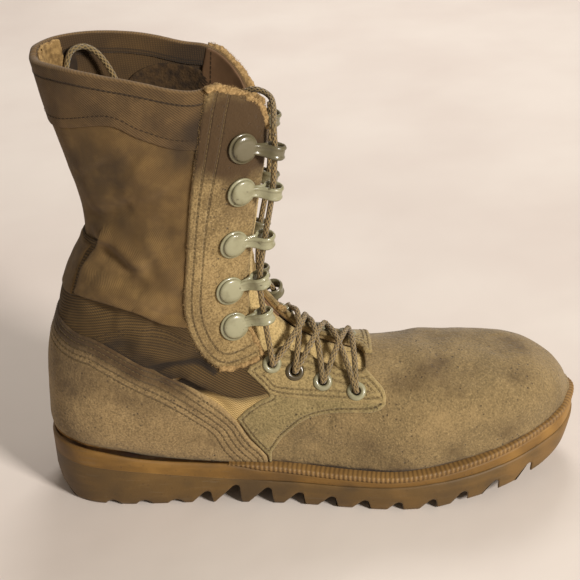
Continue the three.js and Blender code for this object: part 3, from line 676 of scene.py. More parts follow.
def front_frame(place, y, lift):
    """A point over the form with three directions: ahead and up lie in the surface, out is square to it."""
    out = unit(np.cross(front_point(place, y + 0.5) - front_point(place, y - 0.5),
                        front_point(place + 0.05, y) - front_point(place - 0.05, y)))
    out = -out if out[0] + out[2] < 0 else out
    ahead = unit(np.cross(out, [0, 0, 1]))
    ahead = -ahead if ahead[0] < 0 else ahead
    return front_point(place, y) + out * lift, ahead, np.cross(out, ahead), out


HOOKS = {
    LATERAL: [(25.9, -32.3, -14), (24.15, -32, -8), (21.4, -29.5, 0), (18.95, -28.3, 12), (15.8, -28.2, 11)],
    MEDIAL: [(25.9, 23, -12), (23.4, 18, -8), (20.8, 15, -4), (17.9, 12.6, 0), (14.7, 10.5, 0)],
}
EYELETS = {
    LATERAL: [(12.25, -32.5), (11.37, -33.3), (10.41, -35.3), (9.34, -39)],
    MEDIAL: [(12.35, -0.5), (11.37, -2.5), (10.45, -3), (9.5, -2)],
}
SIDE_NAMES = {LATERAL: "lateral", MEDIAL: "medial"}
# How dark each hook and eyelet is painted: wear, and on the top outer hook painted shade.
HOOK_WEAR_AND_SHADE = {LATERAL: [0.7, 0.15, 0, 0, 0.1], MEDIAL: [0.6, 0.6, 0.6, 0.6, 0.6]}
EYELET_WEAR = {LATERAL: [0.1, 1.2, 0.3, 0.15], MEDIAL: [0.5, 0.6, 0.5, 0.4]}
HOOK_SEAT, RING_REACH, RING_LIFT = 3.2, 16.6, 3.4
EYELET_SEAT = 2.6
LACE_LIFT = EYELET_SEAT + 1 + GAP + LACE_RADIUS + 0.7
RUN_PAST_RING = 9
FREE_END = [[139, -10, 239], [130, -3, 241], [117, 2, 233], [101, 7, 224], [84, 12, 218], [68, 17, 219],
            [59, 20.5, 229],
            [55, 22.5, 241], [50.5, 23, 250.5], [45.5, 22, 257.5], [39.5, 20, 261], [33.5, 17, 259.5],
            [30, 14.5, 250],
            [29.5, 13, 237], [32, 12, 224], [37, 11.5, 211]]
AGLET_TIP = np.array([42, 11.5, 200.0])
AGLET_LENGTH = 11


def hook_frame(place, y, turn, side):
    at, ahead, up, out = front_frame(place, y, HOOK_SEAT)
    angle = math.radians(turn) * (1 if side == LATERAL else -1)
    c, s = math.cos(angle), math.sin(angle)
    return at, ahead * c + np.cross(out, ahead) * s, up * c + np.cross(out, up) * s, out


def ring_centre(row, side):
    at, ahead, _, out = hook_frame(*row, side)
    return at + ahead * RING_REACH + out * RING_LIFT


# ---------------------------------------------------------------- looks

class Look:
    """A material being built: each method adds a node and returns its output."""

    def __init__(self, name, roughness=0.9, sheen=0.0):
        self.material = bpy.data.materials.new(name)
        self.material.use_nodes = True
        self.tree = self.material.node_tree
        self.shader = self.tree.nodes["Principled BSDF"]
        self.shader.inputs["Roughness"].default_value = roughness
        self.shader.inputs["Sheen Weight"].default_value = sheen
        self.where = self.add("TexCoord", []).outputs["Object"]

    def add(self, kind, inputs, **settings):
        node = self.tree.nodes.new("ShaderNode" + kind)
        for name, value in settings.items():
            setattr(node, name, value)
        for socket, value in inputs:
            if isinstance(value, bpy.types.NodeSocket):
                self.tree.links.new(value, node.inputs[socket])
            else:
                node.inputs[socket].default_value = value
        return node

    def times(self, *given):
        return self.math("MULTIPLY", *given)

    def plus(self, *given):
        return self.math("ADD", *given)

    def minus(self, *given):
        return self.math("SUBTRACT", *given)

    def math(self, operation, a, b=0.0):
        return self.add("Math", [(0, a), (1, b)], operation=operation).outputs[0]

    def noise(self, scale, detail=3.0, stretch=None):
        where = self.where
        if stretch is not None:
            where = self.add("Mapping", [("Vector", where), ("Scale", stretch)]).outputs[0]
        return self.add("TexNoise", [("Vector", where), ("Scale", scale), ("Detail", detail)]).outputs[0]

    def dots(self, scale, size):
        cells = self.add("TexVoronoi", [("Vector", self.where), ("Scale", scale)])
        return self.between(cells.outputs["Distance"], size, size * 0.4)

    def between(self, value, low, high):
        """0 below low, 1 above high and smooth between them."""
        inputs = [("Value", value), ("From Min", low), ("From Max", high)]
        return self.add("MapRange", inputs, interpolation_type="SMOOTHSTEP", clamp=True).outputs[0]

    def blend(self, factor, a, b):
        return self.add("Mix", [(0, factor), (6, a), (7, b)], data_type="RGBA").outputs[2]

    def value(self, name):
        return self.add("Attribute", [], attribute_name=name).outputs["Fac"]

    def cloth(self):
        """The distances round and along a piece of cloth, in metres."""
        uv = self.add("UVMap", [], uv_map="cloth").outputs[0]
        parts = self.add("SeparateXYZ", [(0, uv)])
        return parts.outputs[0], parts.outputs[1]

    def wave(self, distance, pitch):
        """A wave from 0 to 1 along a distance in metres."""
        turned = self.math("MULTIPLY", distance, 2 * math.pi / pitch)
        return self.math("MULTIPLY", self.math("ADD", self.math("SINE", turned), 1.0), 0.5)

    def lines(self, distance, places, width):
        """1 on lines at some distances (millimetres), 0 off them."""
        total = None
        for place in places:
            off = self.math("ABSOLUTE", self.math("SUBTRACT", distance, place))
            line = self.between(off, width, width * 0.35)
            total = line if total is None else self.math("MAXIMUM", total, line)
        return total

    def bump(self, height, distance, strength=1.0, after=None):
        inputs = [("Height", height), ("Distance", distance), ("Strength", strength)]
        if after is not None:
            inputs.append(("Normal", after))
        return self.add("Bump", inputs).outputs[0]

    def finish(self, colour, normal=None, roughness=None):
        for name, value in [("Base Color", colour), ("Normal", normal), ("Roughness", roughness)]:
            if value is not None:
                self.tree.links.new(value, self.shader.inputs[name])
        return self.material


def tone(red, green, blue):
    """A colour from its usual 0 to 255 numbers."""
    def linear(v):
        v /= 255
        return v / 12.92 if v <= 0.04045 else ((v + 0.055) / 1.055) ** 2.4
    return linear(red), linear(green), linear(blue), 1.0


def suede(name, base, light, dark, rows=(), grain=1.0):
    look = Look(name, 0.95, 0.12)
    blotches = look.between(look.noise(26, 5), 0.2, 0.6)
    mottling = look.between(look.noise(120, 4), 0.42, 0.7)
    grains = look.noise(900, 3)
    fibres = look.between(look.noise(760, 5), 0.56, 0.68)
    pits = look.times(look.dots(330, 0.26), look.between(look.noise(70), 0.5, 0.6))
    colour = look.blend(look.plus(look.times(blotches, 0.7), 0.3), dark, base)
    colour = look.blend(look.times(mottling, 0.35), colour, light)
    colour = look.blend(look.times(look.between(grains, 0.46, 0.72), 0.65 * grain), colour, light)
    colour = look.blend(look.times(look.between(grains, 0.5, 0.3), 0.75 * grain), colour, dark)
    colour = look.blend(look.times(fibres, 0.26 * grain), colour, tone(186, 162, 116))
    colour = look.blend(look.times(pits, 0.7), colour, tone(52, 40, 24))
    edge = look.value("edge")
    colour = look.blend(look.times(look.between(edge, 1.1, 0.1), 0.45), colour, light)
    dirt_and_shade = look.value("dirt_and_shade")
    # Positive values darken, for grime and painted shade; negative values pale, for rubbed patches and
    # painted highlights.
    colour = look.blend(look.between(dirt_and_shade, 0.0, 1.2), colour, tone(68, 49, 24))
    colour = look.blend(look.between(dirt_and_shade, 0.0, -1.3), colour, tone(184, 156, 108))
    height = look.plus(look.times(grains, 0.5), look.times(look.noise(300, 4), 0.8))
    height = look.minus(height, look.times(pits, 0.4))
    normal = look.bump(height, 0.0009, 0.9)
    if rows:
        groove = look.lines(look.value("seam"), rows, 0.75)
        colour = look.blend(look.times(groove, 0.2), colour, tone(70, 54, 32))
        normal = look.bump(look.minus(1.0, groove), 0.0007, 0.7, normal)
    return look.finish(colour, normal)


def weave(name, base, dark, light, pitch, contrast, rows=(), slant=1.0):
    """Twill: raised diagonal threads, crossed by finer ones."""
    look = Look(name, 0.92, 0.08)
    round_, along = look.cloth()
    warped = look.times(look.noise(60), 0.0012)
    diagonal = look.plus(look.plus(look.times(along, slant), round_), warped)
    ridge = look.wave(diagonal, pitch)
    cross = look.wave(look.minus(round_, along), pitch * 0.62)
    thread = look.plus(look.times(cross, 0.3), look.times(ridge, 0.8))
    blotches = look.between(look.noise(26, 6), 0.25, 0.62)
    colour = look.blend(look.plus(look.times(blotches, 0.75), 0.25), dark, base)
    colour = look.blend(look.times(look.between(look.noise(150, 4), 0.4, 0.7), 0.35), colour, light)
    colour = look.blend(look.times(look.between(ridge, 0.45, 0.0), contrast), colour, dark)
    colour = look.blend(look.times(look.between(thread, 0.6, 1.1), contrast * 0.5), colour, light)
    dirt_and_shade = look.value("dirt_and_shade")
    # Positive values darken, for grime and painted shade; negative values pale, for rubbed patches and
    # painted highlights.
    colour = look.blend(look.between(dirt_and_shade, 0.0, 1.3), colour, tone(52, 38, 20))
    colour = look.blend(look.between(dirt_and_shade, 0.0, -1.3), colour, tone(158, 128, 80))
    edge = look.value("edge")
    colour = look.blend(look.times(look.between(edge, 0.9, 0.1), 0.35), colour, light)
    normal = look.bump(thread, 0.00035, 0.6)
    if rows:
        groove = look.lines(look.value("seam"), rows, 0.7)
        colour = look.blend(look.times(groove, 0.5), colour, tone(44, 32, 16))
        normal = look.bump(look.minus(1.0, groove), 0.0006, 0.8, normal)
    return look.finish(colour, normal)


def webbing(name, deep, raised, blotch, pitch=0.0014):
    """Narrow woven tape: long ribs with small crossing stitches."""
    look = Look(name, 0.9)
    across, along = look.cloth()
    ribs = look.wave(across, pitch)
    cross = look.wave(look.plus(along, look.times(across, 0.8)), 0.0012)
    height = look.plus(ribs, look.times(cross, 0.5))
    colour = look.blend(look.between(height, 0.25, 1.2), deep, raised)
    colour = look.blend(look.times(look.between(look.noise(40, 4), 0.45, 0.7), 0.45), colour, blotch)
    dirt_and_shade = look.value("dirt_and_shade")
    # Positive values darken, for grime and painted shade; negative values pale, for rubbed patches and
    # painted highlights.
    colour = look.blend(look.between(dirt_and_shade, 0.0, 1.3), colour, tone(38, 27, 13))
    colour = look.blend(look.between(dirt_and_shade, 0.0, -1.3), colour, tone(124, 100, 60))
    return look.finish(colour, look.bump(height, 0.0004, 0.8))


def rubber(name, base, light, dark, scuffs, roughness=0.62):
    look = Look(name, roughness)
    blotches = look.between(look.noise(34, 5), 0.3, 0.7)
    streaks = look.between(look.noise(60, 5, (0.5, 0.5, 3.5)), 0.46, 0.66)
    scratches = look.between(look.noise(160, 6, (0.35, 0.35, 4.0)), 0.6, 0.66)
    colour = look.blend(look.times(blotches, 0.5), base, dark)
    colour = look.blend(look.times(streaks, 0.3), colour, light)
    colour = look.blend(look.times(scratches, scuffs), colour, tone(112, 96, 72))
    colour = look.blend(look.times(look.dots(230, 0.2), 0.3), colour, tone(60, 44, 26))
    dirt_and_shade = look.value("dirt_and_shade")
    # Positive values darken, for wear and for painted shade at the sole's waist; negative values pale.
    colour = look.blend(look.between(dirt_and_shade, 0.0, 1.0), colour, dark)
    colour = look.blend(look.between(dirt_and_shade, 0.0, -1.0), colour, light)
    height = look.plus(look.noise(500, 4), look.times(streaks, 0.4))
    return look.finish(colour, look.bump(height, 0.0003, 0.6))


def paint():
    """Pale enamel on the metal pieces, chipped and dulled, and darker where it is worn or given painted
    shade.
    """
    look = Look("painted_metal", 0.34)
    look.shader.inputs["Coat Weight"].default_value = 0.3
    chips = look.between(look.noise(340, 5), 0.66, 0.7)
    stain = look.between(look.noise(120, 4), 0.48, 0.75)
    colour = look.blend(stain, tone(150, 147, 118), tone(124, 119, 90))
    colour = look.blend(look.times(chips, 0.7), colour, tone(80, 70, 48))
    colour = look.blend(look.between(look.value("dirt_and_shade"), 0.0, 1.0), colour, tone(72, 62, 40))
    rough = look.plus(look.times(stain, 0.2), 0.28)
    return look.finish(colour, look.bump(look.noise(220, 3), 0.0003, 0.3), rough)


def braid():
    """Round braid: two families of strands wind round the cord, with dark flecks."""
    look = Look("braid", 0.85, 0.2)
    along, round_ = look.cloth()
    turn = look.times(round_, 1 / (LACE_RADIUS / 1000))
    run = look.times(along, 2 * math.pi / 0.0034)
    first = look.math("SINE", look.plus(look.times(turn, 3), look.times(run, 2)))
    second = look.math("SINE", look.minus(look.times(turn, 3), look.times(run, 2)))
    strands = look.math("MAXIMUM", first, second)
    flecks = look.between(look.times(first, second), -0.35, -0.8)
    colour = look.blend(look.between(strands, -0.3, 0.9), tone(98, 80, 48), tone(144, 121, 78))
    colour = look.blend(look.times(flecks, 0.25), colour, tone(62, 48, 28))
    colour = look.blend(look.times(look.between(look.noise(40), 0.45, 0.7), 0.5), colour, tone(112, 98, 66))
    return look.finish(colour, look.bump(strands, 0.0005, 0.8))


def plain(name, base, other, roughness, scale=200, height=0.0003):
    look = Look(name, roughness)
    colour = look.blend(look.between(look.noise(scale, 4), 0.35, 0.68), base, other)
    return look.finish(colour, look.bump(look.noise(scale * 3, 4), height, 0.6))


def lining(rows):
    """Worn cloth inside: darker, with its hem's stitches."""
    look = Look("lining_cloth", 0.95, 0.2)
    round_, along = look.cloth()
    threads = look.times(look.wave(round_, 0.0013), look.wave(along, 0.0012))
    colour = look.blend(look.between(look.noise(30, 4), 0.35, 0.68), tone(58, 40, 16), tone(79, 57, 25))
    colour = look.blend(look.times(threads, 0.22), colour, tone(102, 78, 40))
    hem = look.lines(look.value("seam"), rows, 0.8)
    colour = look.blend(look.times(hem, 0.6), colour, tone(30, 20, 9))
    return look.finish(colour, look.bump(threads, 0.0004, 0.5))


# ---------------------------------------------------------------- camera, light and floor

CAMERA_TURNS = (0.71, 27.72, -2.11)  # yaw, pitch and roll, in degrees
CAMERA_AT = [137.3, -693.6, 482.7]
CAMERA_LENS = 84.64
CAMERA_SENSOR = 36
# Each light in metres: where it is, what it faces, its size, its watts and its colour.
KEY_LIGHT = ((1.33, -1.47, 1.15), (0.0, 0.0, 0.1), 0.42, 60.0, (1.0, 0.945, 0.875))
BACK_LIGHT = ((0.15, 1.1, 1.3), (0.1, 1.0, 0.0), 0.7, 13.0, (1.0, 0.97, 0.94))
ROOM_STRENGTH = 0.3
FLOOR_FRONT, FLOOR_BACK, FLOOR_CURVE = -3.0, 2.2, 0.5  # the flat's ends and the radius behind it, in metres
WALL_TOP = 2.5
FLOOR_HALF = 3  # half the floor's width


def camera():
    """Stands in front of the outer side, above the boot, and looks a little down along its length."""
    yaw, pitch, roll = np.radians(CAMERA_TURNS).tolist()
    ahead = np.array([math.sin(yaw) * math.cos(pitch), math.cos(yaw) * math.cos(pitch), -math.sin(pitch)])
    level = np.array([math.cos(yaw), -math.sin(yaw), 0])
    over = np.cross(level, ahead)
    right = math.cos(roll) * level + math.sin(roll) * over
    up = math.cos(roll) * over - math.sin(roll) * level
    eye = bpy.data.objects.new("camera", bpy.data.cameras.new("camera"))
    eye.data.lens = CAMERA_LENS
    eye.data.sensor_width = CAMERA_SENSOR
    turned = np.eye(4)
    turned[:3, 0], turned[:3, 1], turned[:3, 2] = right, up, -ahead
    turned[:3, 3] = to_frame(CAMERA_AT)
    eye.matrix_world = Matrix(turned.tolist())
    bpy.context.scene.collection.objects.link(eye)
    bpy.context.scene.camera = eye


def lamp(name, at, towards, size, power, colour):
    light = bpy.data.lights.new(name, "AREA")
    light.size = size
    light.energy = power
    light.color = colour
    holder = bpy.data.objects.new(name, light)
    way = unit(np.subtract(at, towards))
    side = unit(np.cross([0, 0, 1], way))
    turned = np.eye(4)
    turned[:3, 0], turned[:3, 1], turned[:3, 2], turned[:3, 3] = side, np.cross(way, side), way, at
    holder.matrix_world = Matrix(turned.tolist())
    bpy.context.scene.collection.objects.link(holder)
    return holder


def studio():
    scene = bpy.context.scene
    scene.view_settings.view_transform = "Standard"
    world = bpy.data.worlds.new("room")
    scene.world = world
    world.use_nodes = True
    world.node_tree.nodes["Background"].inputs[0].default_value = tone(240, 226, 208)
    world.node_tree.nodes["Background"].inputs[1].default_value = ROOM_STRENGTH
    lamp("key", *KEY_LIGHT)
    lamp("back", *BACK_LIGHT)
    turn = np.linspace(0, math.pi / 2, 24)
    arc = [(FLOOR_BACK + FLOOR_CURVE * math.sin(t), FLOOR_CURVE - FLOOR_CURVE * math.cos(t)) for t in turn]
    sweep = [(FLOOR_FRONT, 0)] + arc + [(FLOOR_BACK + FLOOR_CURVE, WALL_TOP)]
    mesh = bpy.data.meshes.new("floor")
    mesh.from_pydata([(x, y, z) for y, z in sweep for x in (-FLOOR_HALF, FLOOR_HALF)], [],
                     [(2 * i, 2 * i + 1, 2 * i + 3, 2 * i + 2) for i in range(len(sweep) - 1)])
    mesh.polygons.foreach_set("use_smooth", np.ones(len(mesh.polygons), bool))
    look = Look("sheet", 0.95)
    colour = look.blend(look.between(look.noise(5, 3), 0.3, 0.7), tone(214, 204, 197), tone(222, 214, 207))
    mesh.materials.append(look.finish(colour, look.bump(look.noise(9, 3), 0.01, 0.2)))
    floor = bpy.data.objects.new("floor", mesh)
    scene.collection.objects.link(floor)
    floor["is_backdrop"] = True


# ---------------------------------------------------------------- cords

def fine_cord(name, points, material):
    return tube(name, to_route(points), LACE_RADIUS, material, sides=16)


def to_route(points):
    return curve(points, 1.1)


def over_throat(start, end):
    """A lace over the throat between two eyelets, a cord's height above them."""
    return [front_frame(start[0] + (end[0] - start[0]) * t, start[1] + (end[1] - start[1]) * t, LACE_LIFT)[0]
            for t in (0, 0.25, 0.5, 0.75, 1)]


def into_eyelet(row, way):
    """Where a lace bends down into its eyelet, coming from a direction."""
    at, _, _, out = front_frame(*row, LACE_LIFT)
    deep = front_frame(*row, -4)[0]
    return [at + way * 2.4, at - out * 0.6 + way * 0.4, at - out * 3.5, deep]


def crossing(name, start, end, material):
    route = over_throat(start, end)
    along = unit(route[-1] - route[0])
    points = into_eyelet(start, along)[::-1] + route[1:-1] + into_eyelet(end, -along)
    piece = fine_cord(name, points, material)
    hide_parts("lace_crossings")


def lace_run(side, material):
    rings = [ring_centre(row, side) for row in HOOKS[side]][::-1]
    under = rings[0] + [1, 0, -RUN_PAST_RING * 0.8]
    place, y = EYELETS[side][0]
    if side == LATERAL:
        start = into_eyelet((place, y), unit(rings[0] - front_frame(place, y, LACE_LIFT)[0]))[::-1]
    else:
        start = [under]
    points = start + rings + [rings[-1] + [0, 0, RUN_PAST_RING]]
    piece = fine_cord("lace_run_" + SIDE_NAMES[side], points, material)
    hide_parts("lace_run_" + SIDE_NAMES[side])


def free_end(material, tip_material):
    """The lace's end: in from the top outer hook, back inside the collar, and one loop at the inner wall."""
    leaves = ring_centre(HOOKS[LATERAL][0], LATERAL) + [0, 0, RUN_PAST_RING + GAP]
    route = curve([leaves, leaves + [0, 0, 3], *FREE_END], 1.2)
    piece = tube("lace_end_cord", route, LACE_RADIUS, material, sides=16)
    down = unit(AGLET_TIP - FREE_END[-1])
    steps = np.linspace(GAP, GAP + AGLET_LENGTH, 12)
    radii = LACE_RADIUS * np.interp(steps, [0, 1, 2, 10.6, 11.3], [1, 1, 0.9, 0.84, 0.7])
    tip = tube("lace_tip", np.array(FREE_END[-1]) + steps[:, None] * down, LACE_RADIUS, tip_material,
               sides=16, profile=radii)
    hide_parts("lace_end")
    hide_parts("lace_aglet")


def laces():
    cord = braid()
    free_end(cord, plain("aglet_plastic", tone(70, 52, 32), tone(96, 74, 48), 0.5))
    for side in (LATERAL, MEDIAL):
        lace_run(side, cord)
    outer, inner = EYELETS[LATERAL], EYELETS[MEDIAL]
    for i in range(3):
        crossing(f"lace_up_{i + 1}", outer[i], inner[i + 1], cord)
        crossing(f"lace_down_{i + 1}", inner[i], outer[i + 1], cord)
    crossing("lace_bar", outer[3], inner[3], cord)


# ---------------------------------------------------------------- metal

def lathe(profile, sides=40):
    """Points and faces of a turned shape: profile rows are radius and height."""
    angle = np.linspace(0, 2 * math.pi, sides, endpoint=False)
    profile = np.asarray(profile, float)
    points = np.stack([profile[:, :1] * np.cos(angle), profile[:, :1] * np.sin(angle),
                       np.repeat(profile[:, 1:], sides, axis=1)], -1).reshape(-1, 3)
    faces = [(r * sides + i, r * sides + (i + 1) % sides, (r + 1) * sides + (i + 1) % sides,
              (r + 1) * sides + i)
             for r in range(len(profile) - 1) for i in range(sides)]
    return points, faces


def hook_shape():
    """A domed cap on a rim plate, and a double-ribbed band that turns round as a ring and comes back."""
    cap = [[0.01, 3.1], [3, 3.05], [5, 2.85], [6.3, 2.45], [6.95, 1.9], [7.1, 1.3], [6.8, 0.9], [6.6, 0.85]]
    rim = [[7.9, 0.75], [8.3, 0.45], [8.35, 0.0], [8.1, -0.4], [7.6, -1.5], [0.01, -1.5]]
    points, faces = lathe(cap + rim)
    points[:, :2] += np.where(points[:, 2:] < 0.8, [-0.5, -0.4], [0, 0])
    turn = np.radians(np.linspace(150, -150, 34))
    ring = np.column_stack([RING_REACH + 4.9 * np.cos(turn), RING_LIFT + 4.9 * np.sin(turn)])
    path = np.vstack([curve([[3.5, 1.9], [7.2, 2.3], [9.6, 3.4], ring[0]], 0.8)[:-1], ring,
                      curve([ring[-1], [9.8, 0.9], [6.5, 0.6], [3.5, 0.5]], 0.8)[1:]])
    way = np.gradient(path, axis=0)
    way /= np.linalg.norm(way, axis=1, keepdims=True)
    normal = np.column_stack([-way[:, 1], way[:, 0]])
    across = np.linspace(-1, 1, 15)
    half = 0.42 + 0.62 * np.exp(-((np.abs(across) - 0.66) / 0.2) ** 2)
    half[[0, -1]] = 0.2
    around = np.concatenate([across, across[::-1]])
    thick = np.concatenate([half, -half[::-1]])
    width = np.interp(path[:, 0], [4, 8, 13, 17], [2.9, 3.1, 3.6, 3.8])
    band = np.stack([path[:, None, 0] + normal[:, None, 0] * thick, width[:, None] * around,
                     path[:, None, 1] + normal[:, None, 1] * thick], -1)
    n, m = len(around), len(path)
    base = len(points)
    faces += [(base + r * n + i, base + r * n + (i + 1) % n, base + (r + 1) * n + (i + 1) % n,
               base + (r + 1) * n + i)
              for r in range(m - 1) for i in range(n)]
    return np.vstack([points, band.reshape(-1, 3)]), faces


def eyelet_shape():
    profile = [[3.0, -3.4], [2.5, -3.2], [2.35, -1], [2.35, 2.4], [2.5, 3.2], [3.0, 3.7], [3.8, 3.85],
               [4.7, 3.6],
               [5.3, 3.0], [5.5, 2.3], [5.3, 1.9], [4.0, 1.6], [3.0, 1.5], [3.0, -3.4]]
    return lathe(profile, 36)


def placed(shape, at, ahead, up, out):
    return at + shape[:, :1] * ahead + shape[:, 1:2] * up + shape[:, 2:] * out


def metalwork():
    enamel = paint()
    hook, hook_faces = hook_shape()
    ring, ring_faces = eyelet_shape()
    for side, name in SIDE_NAMES.items():
        for i, row in enumerate(HOOKS[side]):
            # Wear, and painted shade on the top outer hook.
            worn = {"dirt_and_shade": np.full(len(hook), HOOK_WEAR_AND_SHADE[side][i])}
            piece = make_piece(f"speed_hook_{name}_{i + 1}", placed(hook, *hook_frame(*row, side)),
                               hook_faces, enamel,
                               values=worn)
            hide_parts(f"hook_{name}_{i + 1}")
        for i, row in enumerate(EYELETS[side]):
            worn = {"dirt_and_shade": np.full(len(ring), EYELET_WEAR[side][i])}
            piece = make_piece(f"eyelet_ring_{name}_{i + 1}", placed(ring, *front_frame(*row, 0)),
                               ring_faces,
                               enamel,
                               values=worn)
            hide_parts(f"eyelet_{name}_{i + 1}")


# ---------------------------------------------------------------- cloth and leather panels

FACING_ROWS = (3.7, 8.4)
COUNTER_ROWS = (2.6, 5.6, 9, 12.5, 16)

# Stains and pale rubbed patches; on the side also painted shade beside the facing and on the counter below
# the webbing, and painted highlights on fold ridges: x, y, z, radius and darkness (negative is pale).
# Those on the side leave y out.
SIDE_STAINS_AND_SHADING = [
    (72, 134, 9, -0.5), (52, 184, 11, 0.3), (83, 155, 8, 0.3), (70, 160, 7, -0.3), (50, 214, 13, 0.3),
               (62, 200, 14, 0.25), (60, 178, 8, 0.5), (92, 219, 9, 0.6), (86, 196, 10, 0.25),
    (72, 156, 10, -0.35), (46, 152, 10, -0.4), (50, 240, 8, 0.3), (84, 140, 12, 0.35), (101, 232, 7, 0.9),
    (112, 240, 9, 0.55), (112, 216, 9, 0.45), (104, 196, 7, 0.45), (115, 172, 8, 0.35), (100, 150, 9, -0.3),
    (95, 120, 10, 0.45), (116, 102, 8, 0.1), (98, 104, 8, 0.4), (92, 140, 7, 0.25), (20, 82, 14, 0.55),
               (42, 78, 13, 0.5),
    (60, 74, 10, 0.4), (84, 76, 9, -0.35), (62, 84, 8, -0.3), (70, 46, 15, 0.2), (96, 40, 10, 0.35),
               (14, 48, 9, 0.5), (40, 50, 14, 0.2), (64, 60, 12, 0.15),
]
TOP_STAINS = [
    (193, -17, 85, 8, 0.4), (198, -4, 85, 9, 0.4), (206, -37, 74, 9, 0.5), (221, -30, 78, 9, 0.4),
              (231, -21, 80, 8, 0.5),
    (238, -38, 71, 9, 0.5), (281, 2, 75, 10, 0.45), (277, -25, 71, 9, 0.4), (186, -48, 38, 9, 0.6),
              (204, -51, 26, 10, 0.6),
    (267, -43, 43, 11, 0.5), (236, -54, 34, 10, 0.55), (296, -20, 46, 12, 0.4), (212, -20, 84, 12, -0.3),
    (248, -10, 80, 16, -0.4), (250, -44, 56, 13, -0.35), (180, -44, 58, 9, -0.4), (222, -48, 52, 12, -0.3),
    (290, -6, 66, 9, -0.3), (155, -40, 70, 7, 0.5), (168, -36, 80, 6, 0.4),
]


def stains_and_shade(spots):
    total = ripple(spots.at, 40, 21) * 0.1 + ripple(spots.at, 15, 22) * 0.1 + ripple(spots.at, 6, 23) * 0.06
    # Painted shade on the counter's upper band, under the webbing's overhang.
    shade_under_web = smoothstep(15, 5, spots.inside(COUNTER_EDGE_SHADE)) * smoothstep(100, 80, spots.x)
    total += 1.1 * shade_under_web * (spots.inside(COUNTER_EDGE_SHADE) > 0) * smoothstep(-5, 12, spots.x)
    # A painted shadow line where the vamp meets the welt.
    total += 1.1 * smoothstep(1.9, 0.7, spots.over_sole(0)) * smoothstep(100, 130, spots.x)
    facing = spots.inside(FACING) > 0
    # Darker towards the top of the shaft, off the facings.
    total += 0.3 * smoothstep(190, 215, spots.z) * ~facing
    # Painted shade on the facing's front part beside the top hooks.
    total += 0.4 * smoothstep(106, 114, spots.x) * smoothstep(170, 190, spots.z) * facing
    # Painted shade over the top of the vamp.
    total += 0.33 * smoothstep(60, 80, spots.z) * smoothstep(190, 215, spots.x)
    facing_top = smoothstep(196, 214, spots.z) * facing
    total += facing_top * (0.95 - 0.5 * smoothstep(236, 250, spots.z))
    for x, z, radius, dark in SIDE_STAINS_AND_SHADING:
        total += dark * np.exp(-((spots.x - x) ** 2 + (spots.z - z) ** 2) / radius ** 2)
    for x, y, z, radius, dark in TOP_STAINS:
        total += 0.75 * dark * np.exp(-((spots.x - x) ** 2 + (spots.y - y) ** 2
                                        + (spots.z - z) ** 2) / radius ** 2)
    return total


def patch(low, high, first, last, step):
    places = spaced_places(low, high, step)
    return grid(places, np.linspace(first, last, round((last - first) * 290 / step)))


def off_holes(spots):
    """How far a place is from the eyelets' holes."""
    nearest = np.full(len(spots.x), 30.0)
    for rows in EYELETS.values():
        for row in rows:
            at = front_frame(*row, 0)[0]
            nearest = np.minimum(nearest, np.linalg.norm(spots.at - at, axis=1) - 3.1)
    return nearest


def vamp_region(spots):
    return np.minimum(np.minimum(spots.off_throat(), spots.over_sole(6)), off_holes(spots))


def shaft_region(spots):
    return np.minimum.reduce([spots.off_throat(), spots.over_sole(6), spots.under_rim(), off_holes(spots)])


def counter_edge(spots):
    return spots.inside(COUNTER_EDGE_SHADE)


def ledge(spots):
    """How far over the sole the counter stops, which leaves a strip of the rand bare at the heel."""
    return np.interp(spots.x, [0, 25, 60, 100], [3.2, 1.7, 0, -0.8])


def counter_region(spots):
    return np.minimum(counter_edge(spots), spots.over_sole(0) - ledge(spots))


STRAP_LINE = np.array([[100, 86], [119, 84], [128, 77], [132, 72.5], [138, 70.5], [149, 69], [168.5, 67],
                       [186, 66],
                       [205, 66]])


def stay_outline(side):
    return LATERAL_STAY if side == LATERAL else MEDIAL_STAY


def on_side(spots, side, split):
    return (spots.y - split) * side


def strap_region(side):
    def region(spots):
        whole = np.minimum(spots.inside(stay_outline(side)), on_side(spots, side, -18))
        under = line_height(STRAP_LINE, spots.x) + 3 - spots.z
        return np.minimum.reduce([whole, under, spots.over_sole(-0.3), spots.off_throat(), off_holes(spots)])
    return region


def stay_edge(side):
    def region(spots):
        whole = np.minimum(spots.inside(stay_outline(side)), on_side(spots, side, -18))
        over = (spots.z - line_height(STRAP_LINE, spots.x)) * 0.9
        return np.minimum.reduce([whole, over, spots.off_throat()])
    return region


def stay_region(side):
    whole = stay_edge(side)
    return lambda spots: np.minimum(whole(spots), off_holes(spots))


def facing_region(side):
    def region(spots):
        whole = np.minimum(spots.inside(FACING), on_side(spots, side, -12))
        return np.minimum.reduce([whole, spots.off_throat(), spots.under_rim() + 0.5])
    return region


def facing_edge(spots):
    """How far in from the facing's edge; its outer row of stitches drifts forward towards the top."""
    return spots.inside(FACING) * (1 - 0.28 * smoothstep(150, 240, spots.z))


def outline_edge(outline):
    return lambda spots: spots.inside(outline)


def band_region(spots):
    return np.minimum.reduce([spots.under_rim() + 0.7, spots.z - line_height(COLLAR_BAND, spots.x),
                              spots.off_throat()])


def fold_region(spots):
    rim = spots.under_rim()
    return np.minimum.reduce([rim + 1.0, 5.0 - rim, spots.off_throat()])


def hem_region(spots):
    rim = spots.under_rim()
    return np.minimum.reduce([rim + 0.3, 11 - rim, spots.off_throat()])


def web_region(spots):
    return np.minimum(spots.inside(ANKLE_WEB), spots.off_throat())


def web_uv(spots):
    """Distances across and along the ankle strap, so that its ribs follow its own curve."""
    return np.column_stack([0.92 * (spots.z - line_height(WEB_RIBS, spots.x)), spots.x * 1.1])


def gusset_uv(spots):
    return np.column_stack([spots.z - 0.3 * spots.x, spots.x])


